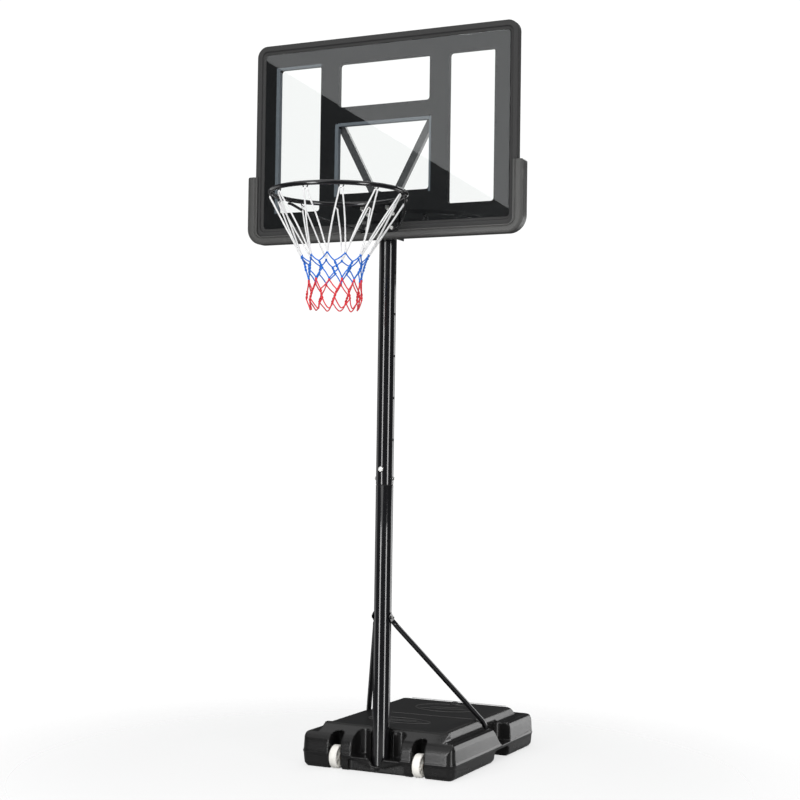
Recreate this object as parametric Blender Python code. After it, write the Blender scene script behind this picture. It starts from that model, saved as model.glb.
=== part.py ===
"""Portable basketball hoop: ballast tank on two wheels, two-piece pole, side struts, height-adjustable
backboard carriage, clear board in a moulded surround, lower bumper, steel rim and net.

Metres, +Z up. The origin is on the floor, under the centre of the pole. The rim points to -Y.
"""

import math

import bmesh
import bpy
from mathutils import Matrix, Vector

GAP = 0.0003

# Pole
POLE_R = 0.03175
POLE_WALL = 0.002
POLE_FOOT_Z = 0.0185
SEAM_Z = 1.036
POLE_TOP_Z = 2.088
NECK_LENGTH = 0.1
NECK_R = POLE_R - POLE_WALL - GAP
HOLE_PITCH = 0.1524
LOWEST_HOLE_Z = 1.2
HOLE_COUNT = 6
HOLE_R = 0.0046
LOCK_Z = LOWEST_HOLE_Z + HOLE_PITCH * (HOLE_COUNT - 1)
SEAM_BOLT_FRONT_Z = 1.094
SEAM_BOLT_CROSS_Z = 1.060

# Ballast tank
TANK_HALF_X = 0.306
TANK_FRONT_Y = -0.046
TANK_REAR_Y = 0.757
TANK_CORNER_R = 0.030
DECK_Z = 0.155
# (inset from the plan outline, height) from the underside up to the deck
TANK_WALL = [
    (0.016, 0.0),
    (0.005, 0.014),
    (0.001, 0.050),
    (-0.0015, 0.0530),
    (-0.0015, 0.0565),
    (0.001, 0.0595),
    (0.004, 0.108),
    (0.009, 0.121),
    (0.018, 0.127),
    (0.030, 0.125),
    (0.044, 0.121),
    (0.056, 0.129),
    (0.070, 0.150),
    (0.078, DECK_Z),
]
# The rounded brow between the deck and the front wall, as (y, z) from the front wall up to the deck
BROW = [
    (-0.0455, 0.075),
    (-0.0435, 0.092),
    (-0.0385, 0.1055),
    (-0.0300, 0.1165),
    (-0.0180, 0.1255),
    (0.0000, 0.1335),
    (0.0360, 0.1505),
]
BROW_HALF_X = 0.250
RECESS_HALF_X = 0.098
LIP_Z = 0.053
POCKET_R = 0.0345
# Flutes round the pole's foot: (x, radius, half angle in degrees)
FLUTES = [(0.072, 0.026, 80), (0.0, 0.0465, 62), (-0.072, 0.026, 80)]
NOTCH_TOP_HALF_X = 0.036
NOTCH_LOW_HALF_X = 0.0135
NOTCH_LOW_Z = 0.026
# Right half of the raked chin under the recess: (x, z)
CHIN = [(0.0, 0.015), (0.094, 0.044), (0.112, 0.041), (0.112, -0.01)]
CHIN_BACK_Y = -0.024
BAY_Y = 0.424
BAY_INNER_X = 0.243
BAY_CORNER_R = 0.020
# Strut bay, from its floor up: (z, front y, rear y)
BAY_LEVELS = [
    (0.057, 0.420, 0.500),
    (0.066, 0.404, 0.502),
    (0.085, 0.384, 0.503),
    (0.108, 0.362, 0.504),
    (0.127, 0.348, 0.505),
    (0.200, 0.346, 0.506),
]
# Cross passage under each bay: (y, z)
TUNNEL = [(0.345, -0.01), (0.352, 0.034), (0.366, 0.043), (0.478, 0.043), (0.492, 0.034), (0.499, -0.01)]
TUNNEL_INNER_X = 0.225
SLOT_R = 0.0155
# The slot that the right strut comes down: (x, y, z)
SLOT_ROUTE = [(0.2061, 0.3182, 0.212), (0.2400, 0.3790, 0.146), (0.2450, 0.4120, 0.104)]
OUTSIDE_X = 0.36
OUTSIDE_Y = -0.12
BELOW_Z = -0.01
ABOVE_Z = 0.2
CAP_X, CAP_Y = 0.015, 0.630
CAP_BORE_R = 0.0175
CAP_BORE_DEPTH = 0.030

# Wheels
WHEEL_X = 0.1665
WHEEL_Y = -0.020
WHEEL_Z = 0.0428
WHEEL_R = 0.0425
WHEEL_HALF_WIDTH = 0.0150
WHEEL_HUB_R = 0.0125
WHEEL_RIM_R = 0.0325
WHEEL_WEB_HALF = 0.0045
WELL_HALF_WIDTH = 0.0240
WELL_Y = -0.028
WELL_Z = 0.075
WELL_R = 0.066
WELL_TOP_R = 0.022
AXLE_R = 0.0050
AXLE_HALF_LENGTH = 0.0485

# Struts
STRUT_R = 0.0095
STRUT_TOP_Z = 0.558
STRUT_FOOT_Z = 0.095
TAB_HALF = 0.0018
TAB_WIDEN = 1.35

# Filler cap
CAP_GRIP_R = 0.0225
CAP_TOP = 0.0085
CAP_FLANGE = 0.0032
CAP_PLUG_LENGTH = 0.020

# Backboard
SHEET_FRONT_Y = -0.060
SHEET_T = 0.004
SHEET_HALF_X = 0.4937
BACKING_FRONT_Y = SHEET_FRONT_Y + SHEET_T + GAP
BACKING_BACK_Y = -0.0362
FRAME_HALF_X = 0.527
FRAME_TOP_Z = 2.674
FRAME_LOW_Z = 1.952
FRAME_CORNER_R = 0.042
FRAME_BEAD = 0.022
FRAME_INNER = FRAME_HALF_X - SHEET_HALF_X - GAP
FRAME_FRONT_Y = -0.068
FRAME_STEP_Y = -0.0585
FRAME_BACK_Y = BACKING_BACK_Y
WINDOW_TOP_Z = 2.581
WINDOW_CORNER_R = 0.010
SIDE_WINDOW = (0.259, 0.435, 2.042, WINDOW_TOP_Z)
TOP_WINDOW = (-0.183, 0.183, 2.420, WINDOW_TOP_Z)
TARGET_WINDOW = (-0.1835, 0.1835, 2.099, 2.350)
BUMPER_HALF_X = 0.5545
BUMPER_LOW_Z = 1.925
BUMPER_TOP_Z = 2.180
BUMPER_FRONT_Y = -0.0785
BUMPER_LIP = 0.014
BUMPER_LOW_SCALE = 0.75
BUMPER_CORNER_R = 0.062
BUMPER_NOTCH_HALF_X = 0.082
BUMPER_NOTCH_LOW_Z = 1.946
BUMPER_NOTCH_TOP_Z = 1.990

# Carriage behind the board
WEB_FRONT_Y = BACKING_BACK_Y + GAP
PLATE_T = 0.003
CHEEK_X = 0.0345
CHEEK_LOW_Z = 1.930
CHEEK_TOP_Z = 2.072
CHEEK_BACK_Y = 0.056
ARM_TAB_LOW_Z = 2.030
ARM_TAB_TOP_Z = 2.112
CLAMP_Y = 0.0425
CLAMP_ZS = {"lower": 1.985, "upper": 2.052}
ARM_WIDTH = 0.027
ARM_DEPTH = 0.018
ARM_LOW = (0.0400, 2.086)
ARM_TOP = (0.1926, 2.372)
ARM_SCREW = (0.1865, 2.362)

# Rim
RIM_Y = -0.392
RIM_Z = 2.040
RIM_R = 0.2330
RIM_TUBE_R = 0.0080
HOOK_COUNT = 12
PLATE_HALF_X = 0.072
TONGUE_HALF_X = 0.088
TONGUE_Z = RIM_Z - 0.004
RIM_PLATE_T = 0.004
RIM_BOLT_X = 0.050
RIM_BOLT_LOW_Z = 1.963
RIM_BOLT_HIGH_Z = 2.014
FLANGE_FRONT_Y = -0.150
FLANGE_BOLT_Y = -0.115
BRACKET_FOOT_Z = 1.950
BRACKET_BEND_LOW_Z = 1.979
BRACKET_BEND_HIGH_Z = 1.991
BRACKET_BEND_SHIFT = 0.0015
HOOK_R = 0.0021
# A net hook under the ring: (along the ring, below its centre line)
HOOK_ROUTE = [(-0.009, -0.004), (-0.0075, -0.0125), (0.0, -0.0165), (0.0075, -0.0125), (0.009, -0.004)]
BRACE_R = 0.0048
# Right side brace, from the ring down to the bracket: (x, y, height from the ring's centre line)
BRACE_ROUTE = [
    (0.2255, -0.3390, -0.0136),
    (0.2200, -0.3200, -0.0160),
    (0.1900, -0.2620, -0.0400),
    (0.1500, -0.1900, -0.0590),
    (0.1100, -0.1300, -0.0730),
    (0.0820, -0.0930, -0.0810),
    (0.0660, -0.0780, -0.0840),
]

# Net: (outer radius, height)
NET_WALL = 0.003
NET_OUTLINE = [(0.219, 1.997), (0.165, 1.905), (0.120, 1.823), (0.093, 1.743), (0.096, 1.677), (0.086, 1.634)]

BOLT_R = 0.0040

COLOURS = {
    "tank": ((0.018, 0.018, 0.019), 0.42, 0.0),
    "gloss_steel": ((0.010, 0.010, 0.011), 0.18, 0.4),
    "zinc": ((0.62, 0.62, 0.60), 0.32, 1.0),
    "black_bolt": ((0.02, 0.02, 0.02), 0.4, 0.6),
    "cream_wheel": ((0.80, 0.78, 0.72), 0.5, 0.0),
    "clear_sheet": ((0.85, 0.88, 0.90), 0.05, 0.0),
    "backing": ((0.012, 0.013, 0.015), 0.35, 0.0),
    "surround": ((0.030, 0.031, 0.033), 0.45, 0.0),
    "bumper": ((0.060, 0.060, 0.060), 0.6, 0.0),
    "net_white": ((0.85, 0.85, 0.85), 0.8, 0.0),
}


def material(name):
    """The named Principled material, made once."""
    if name in bpy.data.materials:
        return bpy.data.materials[name]
    colour, roughness, metallic = COLOURS[name]
    made = bpy.data.materials.new(name)
    made.use_nodes = True
    shader = made.node_tree.nodes["Principled BSDF"]
    shader.inputs["Base Color"].default_value = (*colour, 1.0)
    shader.inputs["Roughness"].default_value = roughness
    shader.inputs["Metallic"].default_value = metallic
    return made


def link(name, bm, finish, at=(0.0, 0.0, 0.0), parent=None, turn=None):
    """Turn a bmesh drawn round its own origin into an object at a place in the world."""
    bmesh.ops.recalc_face_normals(bm, faces=bm.faces)
    mesh = bpy.data.meshes.new(name)
    bm.to_mesh(mesh)
    bm.free()
    mesh.shade_smooth()
    mesh.set_sharp_from_angle(angle=math.radians(35))
    obj = bpy.data.objects.new(name, mesh)
    bpy.context.collection.objects.link(obj)
    mesh.materials.append(material(finish))
    place = Matrix.Translation(at) @ (turn or Matrix.Identity(4))
    if parent:
        obj.parent = parent
        place = Matrix.Translation(-parent.location) @ place
    obj.matrix_local = place
    return obj


def empty(name, at):
    """An empty that carries the pieces of one moving group."""
    obj = bpy.data.objects.new(name, None)
    obj.location = at
    bpy.context.collection.objects.link(obj)
    return obj


def cut(obj, name, bm, at=(0.0, 0.0, 0.0), turn=None, operation="DIFFERENCE"):
    """Join a hidden wire cutter to an object by a Boolean."""
    cutter = link(name, bm, "zinc", at, None, turn)
    cutter.hide_render = True
    cutter.display_type = "WIRE"
    modifier = obj.modifiers.new(name, "BOOLEAN")
    modifier.operation = operation
    modifier.solver = "EXACT"
    modifier.object = cutter
    return cutter


AXIS_TURN = {
    "+Z": Matrix.Identity(4),
    "-Z": Matrix.Rotation(math.pi, 4, "X"),
    "+X": Matrix.Rotation(math.pi / 2, 4, "Y"),
    "-X": Matrix.Rotation(-math.pi / 2, 4, "Y"),
    "+Y": Matrix.Rotation(-math.pi / 2, 4, "X"),
    "-Y": Matrix.Rotation(math.pi / 2, 4, "X"),
}


def lathe(profile, segments, hexed=()):
    """Turn (radius, height) points round Z. A profile that starts and ends at radius 0 makes a solid piece,
    any other one is closed into a ring. Points whose index is in hexed lie on a hexagon."""
    bm = bmesh.new()
    solid = profile[0][0] == 0.0
    rows = []
    for index, (radius, height) in enumerate(profile):
        if radius == 0.0:
            rows.append([bm.verts.new((0.0, 0.0, height))])
            continue
        row = []
        for step in range(segments):
            angle = math.tau * step / segments
            reach = radius
            if index in hexed:
                reach /= math.cos((angle + math.pi / 6) % (math.pi / 3) - math.pi / 6)
            row.append(bm.verts.new((reach * math.cos(angle), reach * math.sin(angle), height)))
        rows.append(row)
    pairs = list(zip(rows, rows[1:])) + ([] if solid else [(rows[-1], rows[0])])
    for low, high in pairs:
        for step in range(segments):
            after = (step + 1) % segments
            ring = [low[step % len(low)], low[after % len(low)]]
            ring += [high[after % len(high)], high[step % len(high)]]
            bm.faces.new(list(dict.fromkeys(ring)))
    return bm


def loft(rows):
    """A closed body through rings of points that all have the same count."""
    bm = bmesh.new()
    rings = [[bm.verts.new(point) for point in row] for row in rows]
    count = len(rings[0])
    for low, high in zip(rings, rings[1:]):
        for i in range(count):
            j = (i + 1) % count
            bm.faces.new([low[i], low[j], high[j], high[i]])
    bm.faces.new(rings[0])
    bm.faces.new(rings[-1])
    return bm


def prism(outline, low, high, plane="XY"):
    """Extrude a closed outline. XY goes up Z, XZ goes along Y and YZ goes along X."""
    places = {
        "XY": lambda a, b, c: (a, b, c),
        "XZ": lambda a, b, c: (a, c, b),
        "YZ": lambda a, b, c: (c, a, b),
    }
    bm = bmesh.new()
    ends = [[bm.verts.new(places[plane](a, b, c)) for a, b in outline] for c in (low, high)]
    count = len(outline)
    bm.faces.new(ends[0])
    bm.faces.new(ends[1])
    for i in range(count):
        j = (i + 1) % count
        bm.faces.new([ends[0][i], ends[0][j], ends[1][j], ends[1][i]])
    return bm


def block(low, high):
    """A box between two corners."""
    outline = [(low[0], low[1]), (high[0], low[1]), (high[0], high[1]), (low[0], high[1])]
    return prism(outline, low[2], high[2])


def rounded(left, right, low, high, radius, steps=5):
    """A rectangle with round corners, anticlockwise."""
    points = []
    corners = [(right, high, 0), (left, high, 1), (left, low, 2), (right, low, 3)]
    for x, y, quarter in corners:
        middle_x = x - math.copysign(radius, x - (left + right) / 2)
        middle_y = y - math.copysign(radius, y - (low + high) / 2)
        for step in range(steps + 1):
            angle = math.pi / 2 * (quarter + step / steps)
            points.append((middle_x + radius * math.cos(angle), middle_y + radius * math.sin(angle)))
    return points


def circle(x, y, radius, steps=10):
    """A round outline."""
    angles = [math.tau * step / steps for step in range(steps)]
    return [(x + radius * math.cos(angle), y + radius * math.sin(angle)) for angle in angles]


def panel(outline, holes, front, back):
    """A flat panel that stands in XZ, with holes, between two Y planes."""
    bm = bmesh.new()
    edges = []
    for loop in [outline] + holes:
        verts = [bm.verts.new((x, front, z)) for x, z in loop]
        edges += [bm.edges.new((a, b)) for a, b in zip(verts, verts[1:] + verts[:1])]
    bmesh.ops.triangle_fill(bm, use_beauty=True, use_dissolve=False, edges=edges)
    grown = bmesh.ops.extrude_face_region(bm, geom=bm.faces[:])
    moved = [item for item in grown["geom"] if isinstance(item, bmesh.types.BMVert)]
    bmesh.ops.translate(bm, vec=(0.0, back - front, 0.0), verts=moved)
    return bm


def edging(paths, section):
    """Sweep a section along a closed outline or an open run in XZ. paths gives the outline for an inset, so
    each section point (inset, y) finds its own line, and closed says whether the ends meet."""
    outline_at, closed = paths
    rows = [[(x, y, z) for x, z in outline_at(inset)] for inset, y in section]
    bm = bmesh.new()
    verts = [[bm.verts.new(point) for point in row] for row in rows]
    count = len(verts[0])
    for i in range(count if closed else count - 1):
        j = (i + 1) % count
        for low, high in zip(verts, verts[1:] + verts[:1]):
            bm.faces.new([low[i], low[j], high[j], high[i]])
    if not closed:
        bm.faces.new([row[0] for row in verts])
        bm.faces.new([row[-1] for row in verts])
    return bm


def rod(points, radius, sides=10, flats=(1.0, 1.0), across=(1.0, 0.0, 0.0)):
    """A round bar along points. flats shrinks the first and last stations along the across direction."""
    route = [Vector(point) for point in points]
    flat_way = Vector(across)
    bm = bmesh.new()
    rows = []
    for index, point in enumerate(route):
        before = route[max(index - 1, 0)]
        after = route[min(index + 1, len(route) - 1)]
        along = (after - before).normalized()
        side = (flat_way - along * flat_way.dot(along)).normalized()
        other = along.cross(side)
        squash = flats[0] if index <= 1 else flats[1] if index >= len(route) - 2 else 1.0
        widen = 1.0 if squash == 1.0 else TAB_WIDEN
        row = []
        for step in range(sides):
            angle = math.tau * (step + 0.5) / sides
            reach = side * (math.cos(angle) * squash) + other * (math.sin(angle) * widen)
            row.append(bm.verts.new(point + reach * radius))
        rows.append(row)
    for low, high in zip(rows, rows[1:]):
        for step in range(sides):
            after = (step + 1) % sides
            bm.faces.new([low[step], low[after], high[after], high[step]])
    bm.faces.new(rows[0])
    bm.faces.new(rows[-1])
    return bm


def bolt(name, at, axis, length, finish="zinc", parent=None, head=0.0065, tall=0.0052, shank=BOLT_R):
    """A hexagon bolt. at is under its head, and axis points from the head out of the work."""
    profile = [(0.0, tall), (head * 0.86, tall), (head, tall * 0.8), (head, 0.0)]
    profile += [(shank, 0.0), (shank, -length), (0.0, -length)]
    return link(name, lathe(profile, 12, hexed={2, 3}), finish, at, parent, AXIS_TURN[axis])


def nut(name, at, axis, finish="zinc", parent=None, across=0.0065, tall=0.0060, bore=BOLT_R + GAP):
    """A hexagon nut that sits at a point and stands along an axis."""
    profile = [(bore, 0.0), (across, 0.0), (across, tall * 0.85), (across * 0.88, tall), (bore, tall)]
    return link(name, lathe(profile, 12, hexed={1, 2}), finish, at, parent, AXIS_TURN[axis])


def drill(obj, name, at, axis, length, radius=BOLT_R + GAP, sides=10):
    """Cut a round hole, centred at a point, along an axis."""
    profile = [(0.0, -length / 2), (radius, -length / 2), (radius, length / 2), (0.0, length / 2)]
    return cut(obj, name, lathe(profile, sides), at, AXIS_TURN[axis])


def tank_contour(inset):
    """The tank's plan outline, moved in by an inset."""
    radius = max(TANK_CORNER_R - inset, 0.012)
    return rounded(
        -TANK_HALF_X + inset, TANK_HALF_X - inset, TANK_FRONT_Y + inset, TANK_REAR_Y - inset, radius, steps=5
    )


def well_rows(middle):
    """Rings of a wheel well, from in front of the tank to its rear end: an arch whose top curves down."""
    stations = [(OUTSIDE_Y, WELL_Z + WELL_R)]
    for step in range(7):
        angle = math.radians(84) * step / 6
        stations.append((WELL_Y + WELL_R * math.sin(angle), WELL_Z + WELL_R * math.cos(angle)))
    rows = []
    for y, top in stations:
        row = [(middle + WELL_HALF_WIDTH, y, BELOW_Z)]
        for way, quarter in ((1, 0), (-1, 1)):
            for step in range(4):
                angle = math.pi / 2 * (quarter + step / 3)
                x = middle + way * (WELL_HALF_WIDTH - WELL_TOP_R) + WELL_TOP_R * math.cos(angle)
                row.append((x, y, top - WELL_TOP_R + WELL_TOP_R * math.sin(angle)))
        row.append((middle - WELL_HALF_WIDTH, y, BELOW_Z))
        rows.append(row)
    return rows


def build_front(tank):
    """Shape the tank's front: the brow, the wheel wells and the fluted recess for the pole."""
    brow_back = BROW[-1][0]
    fill = block((-BROW_HALF_X, -0.038, 0.090), (BROW_HALF_X, 0.060, 0.1535))
    cut(tank, "join_brow", fill, operation="UNION")
    outside = [(OUTSIDE_Y, BROW[0][1])] + BROW + [(brow_back, ABOVE_Z), (OUTSIDE_Y, ABOVE_Z)]
    cut(tank, "cut_brow", prism(outside, -OUTSIDE_X, OUTSIDE_X, plane="YZ"))
    for side, word in ((-1, "left"), (1, "right")):
        cut(tank, f"cut_well_{word}", loft(well_rows(side * WHEEL_X)))
        at = (side * WHEEL_X, WHEEL_Y, WHEEL_Z)
        drill(tank, f"cut_axle_{word}", at, "+X", 2 * AXLE_HALF_LENGTH + 0.007, AXLE_R + GAP)
    recess = [(-RECESS_HALF_X, OUTSIDE_Y), (RECESS_HALF_X, OUTSIDE_Y)]
    for x, radius, reach in FLUTES:
        for step in range(7):
            angle = math.radians(90 - reach + 2 * reach * step / 6)
            recess.append((x + radius * math.cos(angle), radius * math.sin(angle)))
    cut(tank, "cut_recess", prism(recess, LIP_Z, ABOVE_Z))
    top = LIP_Z + 0.01
    drill(tank, "cut_pocket", (0.0, 0.0, top), "+Z", 2 * (top - POLE_FOOT_Z + GAP), POCKET_R, 24)
    notch = [(-NOTCH_TOP_HALF_X, top), (-NOTCH_LOW_HALF_X, NOTCH_LOW_Z)]
    notch += [(NOTCH_LOW_HALF_X, NOTCH_LOW_Z), (NOTCH_TOP_HALF_X, top)]
    cut(tank, "cut_notch", prism(notch, OUTSIDE_Y, -0.010, plane="XZ"))
    chin = [(-x, z) for x, z in reversed(CHIN[1:])] + CHIN
    cut(tank, "cut_chin", prism(chin, OUTSIDE_Y, CHIN_BACK_Y, plane="XZ"))


def build_bays(tank):
    """Cut the strut bays, the strut slots and the passages under them."""
    for side, word in ((-1, "left"), (1, "right")):
        low_x, high_x = sorted((side * BAY_INNER_X, side * OUTSIDE_X))
        rows = []
        for z, front, rear in BAY_LEVELS:
            ring = rounded(low_x, high_x, front, rear, BAY_CORNER_R, steps=4)
            rows.append([(x, y, z) for x, y in ring])
        cut(tank, f"cut_bay_{word}", loft(rows))
        ends = sorted((side * TUNNEL_INNER_X, side * OUTSIDE_X))
        cut(tank, f"cut_tunnel_{word}", prism(TUNNEL, *ends, plane="YZ"))
        slot = [(side * x, y, z) for x, y, z in SLOT_ROUTE]
        cut(tank, f"cut_slot_{word}", rod(slot, SLOT_R, 12))
        drill(tank, f"cut_strut_hole_{word}", (side * BAY_INNER_X, BAY_Y, STRUT_FOOT_Z), "+X", 0.036)


def build_tank(stand):
    """The blow-moulded ballast tank, with its wheel wells, pole recess and strut bays."""
    shell = loft([[(x, y, z) for x, y in tank_contour(inset)] for inset, z in TANK_WALL])
    tank = link("base_tank", shell, "tank", parent=stand)
    build_front(tank)
    build_bays(tank)
    drill(tank, "cut_filler", (CAP_X, CAP_Y, DECK_Z), "+Z", 2 * CAP_BORE_DEPTH, CAP_BORE_R, 20)


def build_filler_cap():
    """The plug that closes the filling hole. It lifts out."""
    grip, plug = CAP_GRIP_R, CAP_BORE_R - GAP
    low = GAP - CAP_PLUG_LENGTH
    profile = [(0.0, CAP_TOP), (grip * 0.55, CAP_TOP), (grip * 0.62, CAP_FLANGE + 0.001)]
    profile += [(grip * 0.94, CAP_FLANGE), (grip, CAP_FLANGE * 0.6), (grip, GAP)]
    profile += [(plug, GAP), (plug, low), (0.0, low)]
    link("filler_cap", lathe(profile, 20), "tank", (CAP_X, CAP_Y, DECK_Z))


def build_wheels(stand):
    """Two wheels in the front wells, each on its own axle pin."""
    half, web = WHEEL_HALF_WIDTH, WHEEL_WEB_HALF
    side = [(AXLE_R + 0.0004, half), (WHEEL_HUB_R, half), (WHEEL_HUB_R + 0.001, web), (WHEEL_RIM_R, web)]
    side += [(WHEEL_RIM_R + 0.001, half - 0.0015), (WHEEL_R - 0.004, half), (WHEEL_R - 0.0008, half - 0.0035)]
    profile = side + [(radius, -height) for radius, height in reversed(side)]
    end = AXLE_HALF_LENGTH
    pin = [(0.0, end), (AXLE_R, end), (AXLE_R, -end), (0.0, -end)]
    for way, word in ((-1, "left"), (1, "right")):
        at = (way * WHEEL_X, WHEEL_Y, WHEEL_Z)
        link(f"wheel_{word}", lathe(profile, 24), "cream_wheel", at, None, AXIS_TURN["+X"])
        link(f"wheel_axle_{word}", lathe(pin, 12), "zinc", at, stand, AXIS_TURN["+X"])


def build_pole(stand):
    """Two steel tubes: the lower one is necked down to enter the upper one, and two bolts cross the joint."""
    inner = POLE_R - POLE_WALL
    neck_in = NECK_R - POLE_WALL
    top = SEAM_Z + NECK_LENGTH
    profile = [(inner, POLE_FOOT_Z), (POLE_R, POLE_FOOT_Z), (POLE_R, SEAM_Z), (NECK_R, SEAM_Z + 0.0015)]
    profile += [(NECK_R, top), (neck_in, top), (neck_in, SEAM_Z - 0.004), (inner, SEAM_Z - 0.012)]
    lower = link("lower_pole", lathe(profile, 32), "gloss_steel", parent=stand)
    start = SEAM_Z + 0.0018
    profile = [(inner, start), (POLE_R, start), (POLE_R, POLE_TOP_Z), (inner, POLE_TOP_Z)]
    upper = link("upper_pole", lathe(profile, 32), "gloss_steel", parent=stand)
    for number in range(HOLE_COUNT):
        at = (0.0, 0.0, LOWEST_HOLE_Z + HOLE_PITCH * number)
        drill(upper, f"cut_height_hole_{number + 1}", at, "+X", 0.1, HOLE_R)
    crossing = {"front": ("+Y", SEAM_BOLT_FRONT_Z), "cross": ("+X", SEAM_BOLT_CROSS_Z)}
    for word, (axis, height) in crossing.items():
        for tube, tube_word in ((lower, "neck"), (upper, "sleeve")):
            drill(tube, f"cut_{tube_word}_{word}", (0.0, 0.0, height), axis, 0.1)
    drill(lower, "cut_strut_bolt", (0.0, 0.0, STRUT_TOP_Z), "+X", 0.1)
    crown, plug = POLE_R + 0.0012, inner - GAP
    profile = [(0.0, 0.0085), (crown * 0.6, 0.0078), (crown * 0.93, 0.0045), (crown, 0.0018)]
    profile += [(crown, GAP), (plug, GAP), (plug, -0.018), (0.0, -0.018)]
    link("pole_top_cap", lathe(profile, 24), "tank", (0.0, 0.0, POLE_TOP_Z), stand)
    reach = POLE_R + GAP
    length = 2 * reach + 0.009
    bolt("seam_bolt_front", (0.0, -reach, SEAM_BOLT_FRONT_Z), "-Y", length, parent=stand, head=0.0095)
    nut("seam_nut_rear", (0.0, reach, SEAM_BOLT_FRONT_Z), "+Y", parent=stand)
    bolt("seam_bolt_cross", (-reach, 0.0, SEAM_BOLT_CROSS_Z), "-X", length, parent=stand)
    nut("seam_nut_cross", (reach, 0.0, SEAM_BOLT_CROSS_Z), "+X", parent=stand)


def build_struts(stand):
    """Two tube struts from the lower pole to the bays in the tank, flattened and bolted at both ends."""
    top_x = POLE_R + GAP + TAB_HALF + 0.0008
    foot_x = BAY_INNER_X + GAP + TAB_HALF
    squash = TAB_HALF / STRUT_R
    for way, word in ((-1, "left"), (1, "right")):
        route = [
            (way * top_x, -0.010, STRUT_TOP_Z + 0.012),
            (way * top_x, 0.012, STRUT_TOP_Z - 0.014),
            (way * (top_x + 0.012), 0.036, STRUT_TOP_Z - 0.040),
            (way * (foot_x - 0.004), BAY_Y - 0.044, STRUT_FOOT_Z + 0.050),
            (way * foot_x, BAY_Y - 0.016, STRUT_FOOT_Z + 0.019),
            (way * foot_x, BAY_Y + 0.011, STRUT_FOOT_Z - 0.012),
        ]
        strut = link(f"strut_{word}", rod(route, STRUT_R, 12, (squash, squash)), "gloss_steel", parent=stand)
        for end, x, y, z in (("top", top_x, 0.0, STRUT_TOP_Z), ("foot", foot_x, BAY_Y, STRUT_FOOT_Z)):
            drill(strut, f"cut_{end}_{word}", (way * x, y, z), "+X", 0.030)
        foot_face = way * (foot_x + TAB_HALF + GAP)
        axis = "+X" if way > 0 else "-X"
        at = (foot_face, BAY_Y, STRUT_FOOT_Z)
        bolt(f"strut_foot_bolt_{word}", at, axis, 0.020, "black_bolt", stand)
    face = top_x + TAB_HALF + GAP
    bolt("strut_top_bolt", (-face, 0.0, STRUT_TOP_Z), "-X", 2 * face + 0.009, "black_bolt", stand)
    nut("strut_top_nut", (face, 0.0, STRUT_TOP_Z), "+X", parent=stand)


def frame_outline(inset):
    """The surround's outline in XZ, moved in by an inset."""
    radius = max(FRAME_CORNER_R - inset, 0.012)
    return rounded(
        -FRAME_HALF_X + inset, FRAME_HALF_X - inset, FRAME_LOW_Z + inset, FRAME_TOP_Z - inset, radius, steps=5
    )


def bumper_outline(inset):
    """The bumper's open U, from its right end round the bottom to its left end, moved in by an inset."""
    side = BUMPER_HALF_X - inset
    low = BUMPER_LOW_Z + inset * BUMPER_LOW_SCALE
    radius = max(BUMPER_CORNER_R - inset, 0.012)
    points = [(side, BUMPER_TOP_Z)]
    for middle, quarter in (((side - radius, low + radius), 0), ((radius - side, low + radius), 1)):
        for step in range(7):
            angle = -math.pi / 2 * (quarter + step / 6)
            points.append((middle[0] + radius * math.cos(angle), middle[1] + radius * math.sin(angle)))
    points.append((-side, BUMPER_TOP_Z))
    return points


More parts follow.
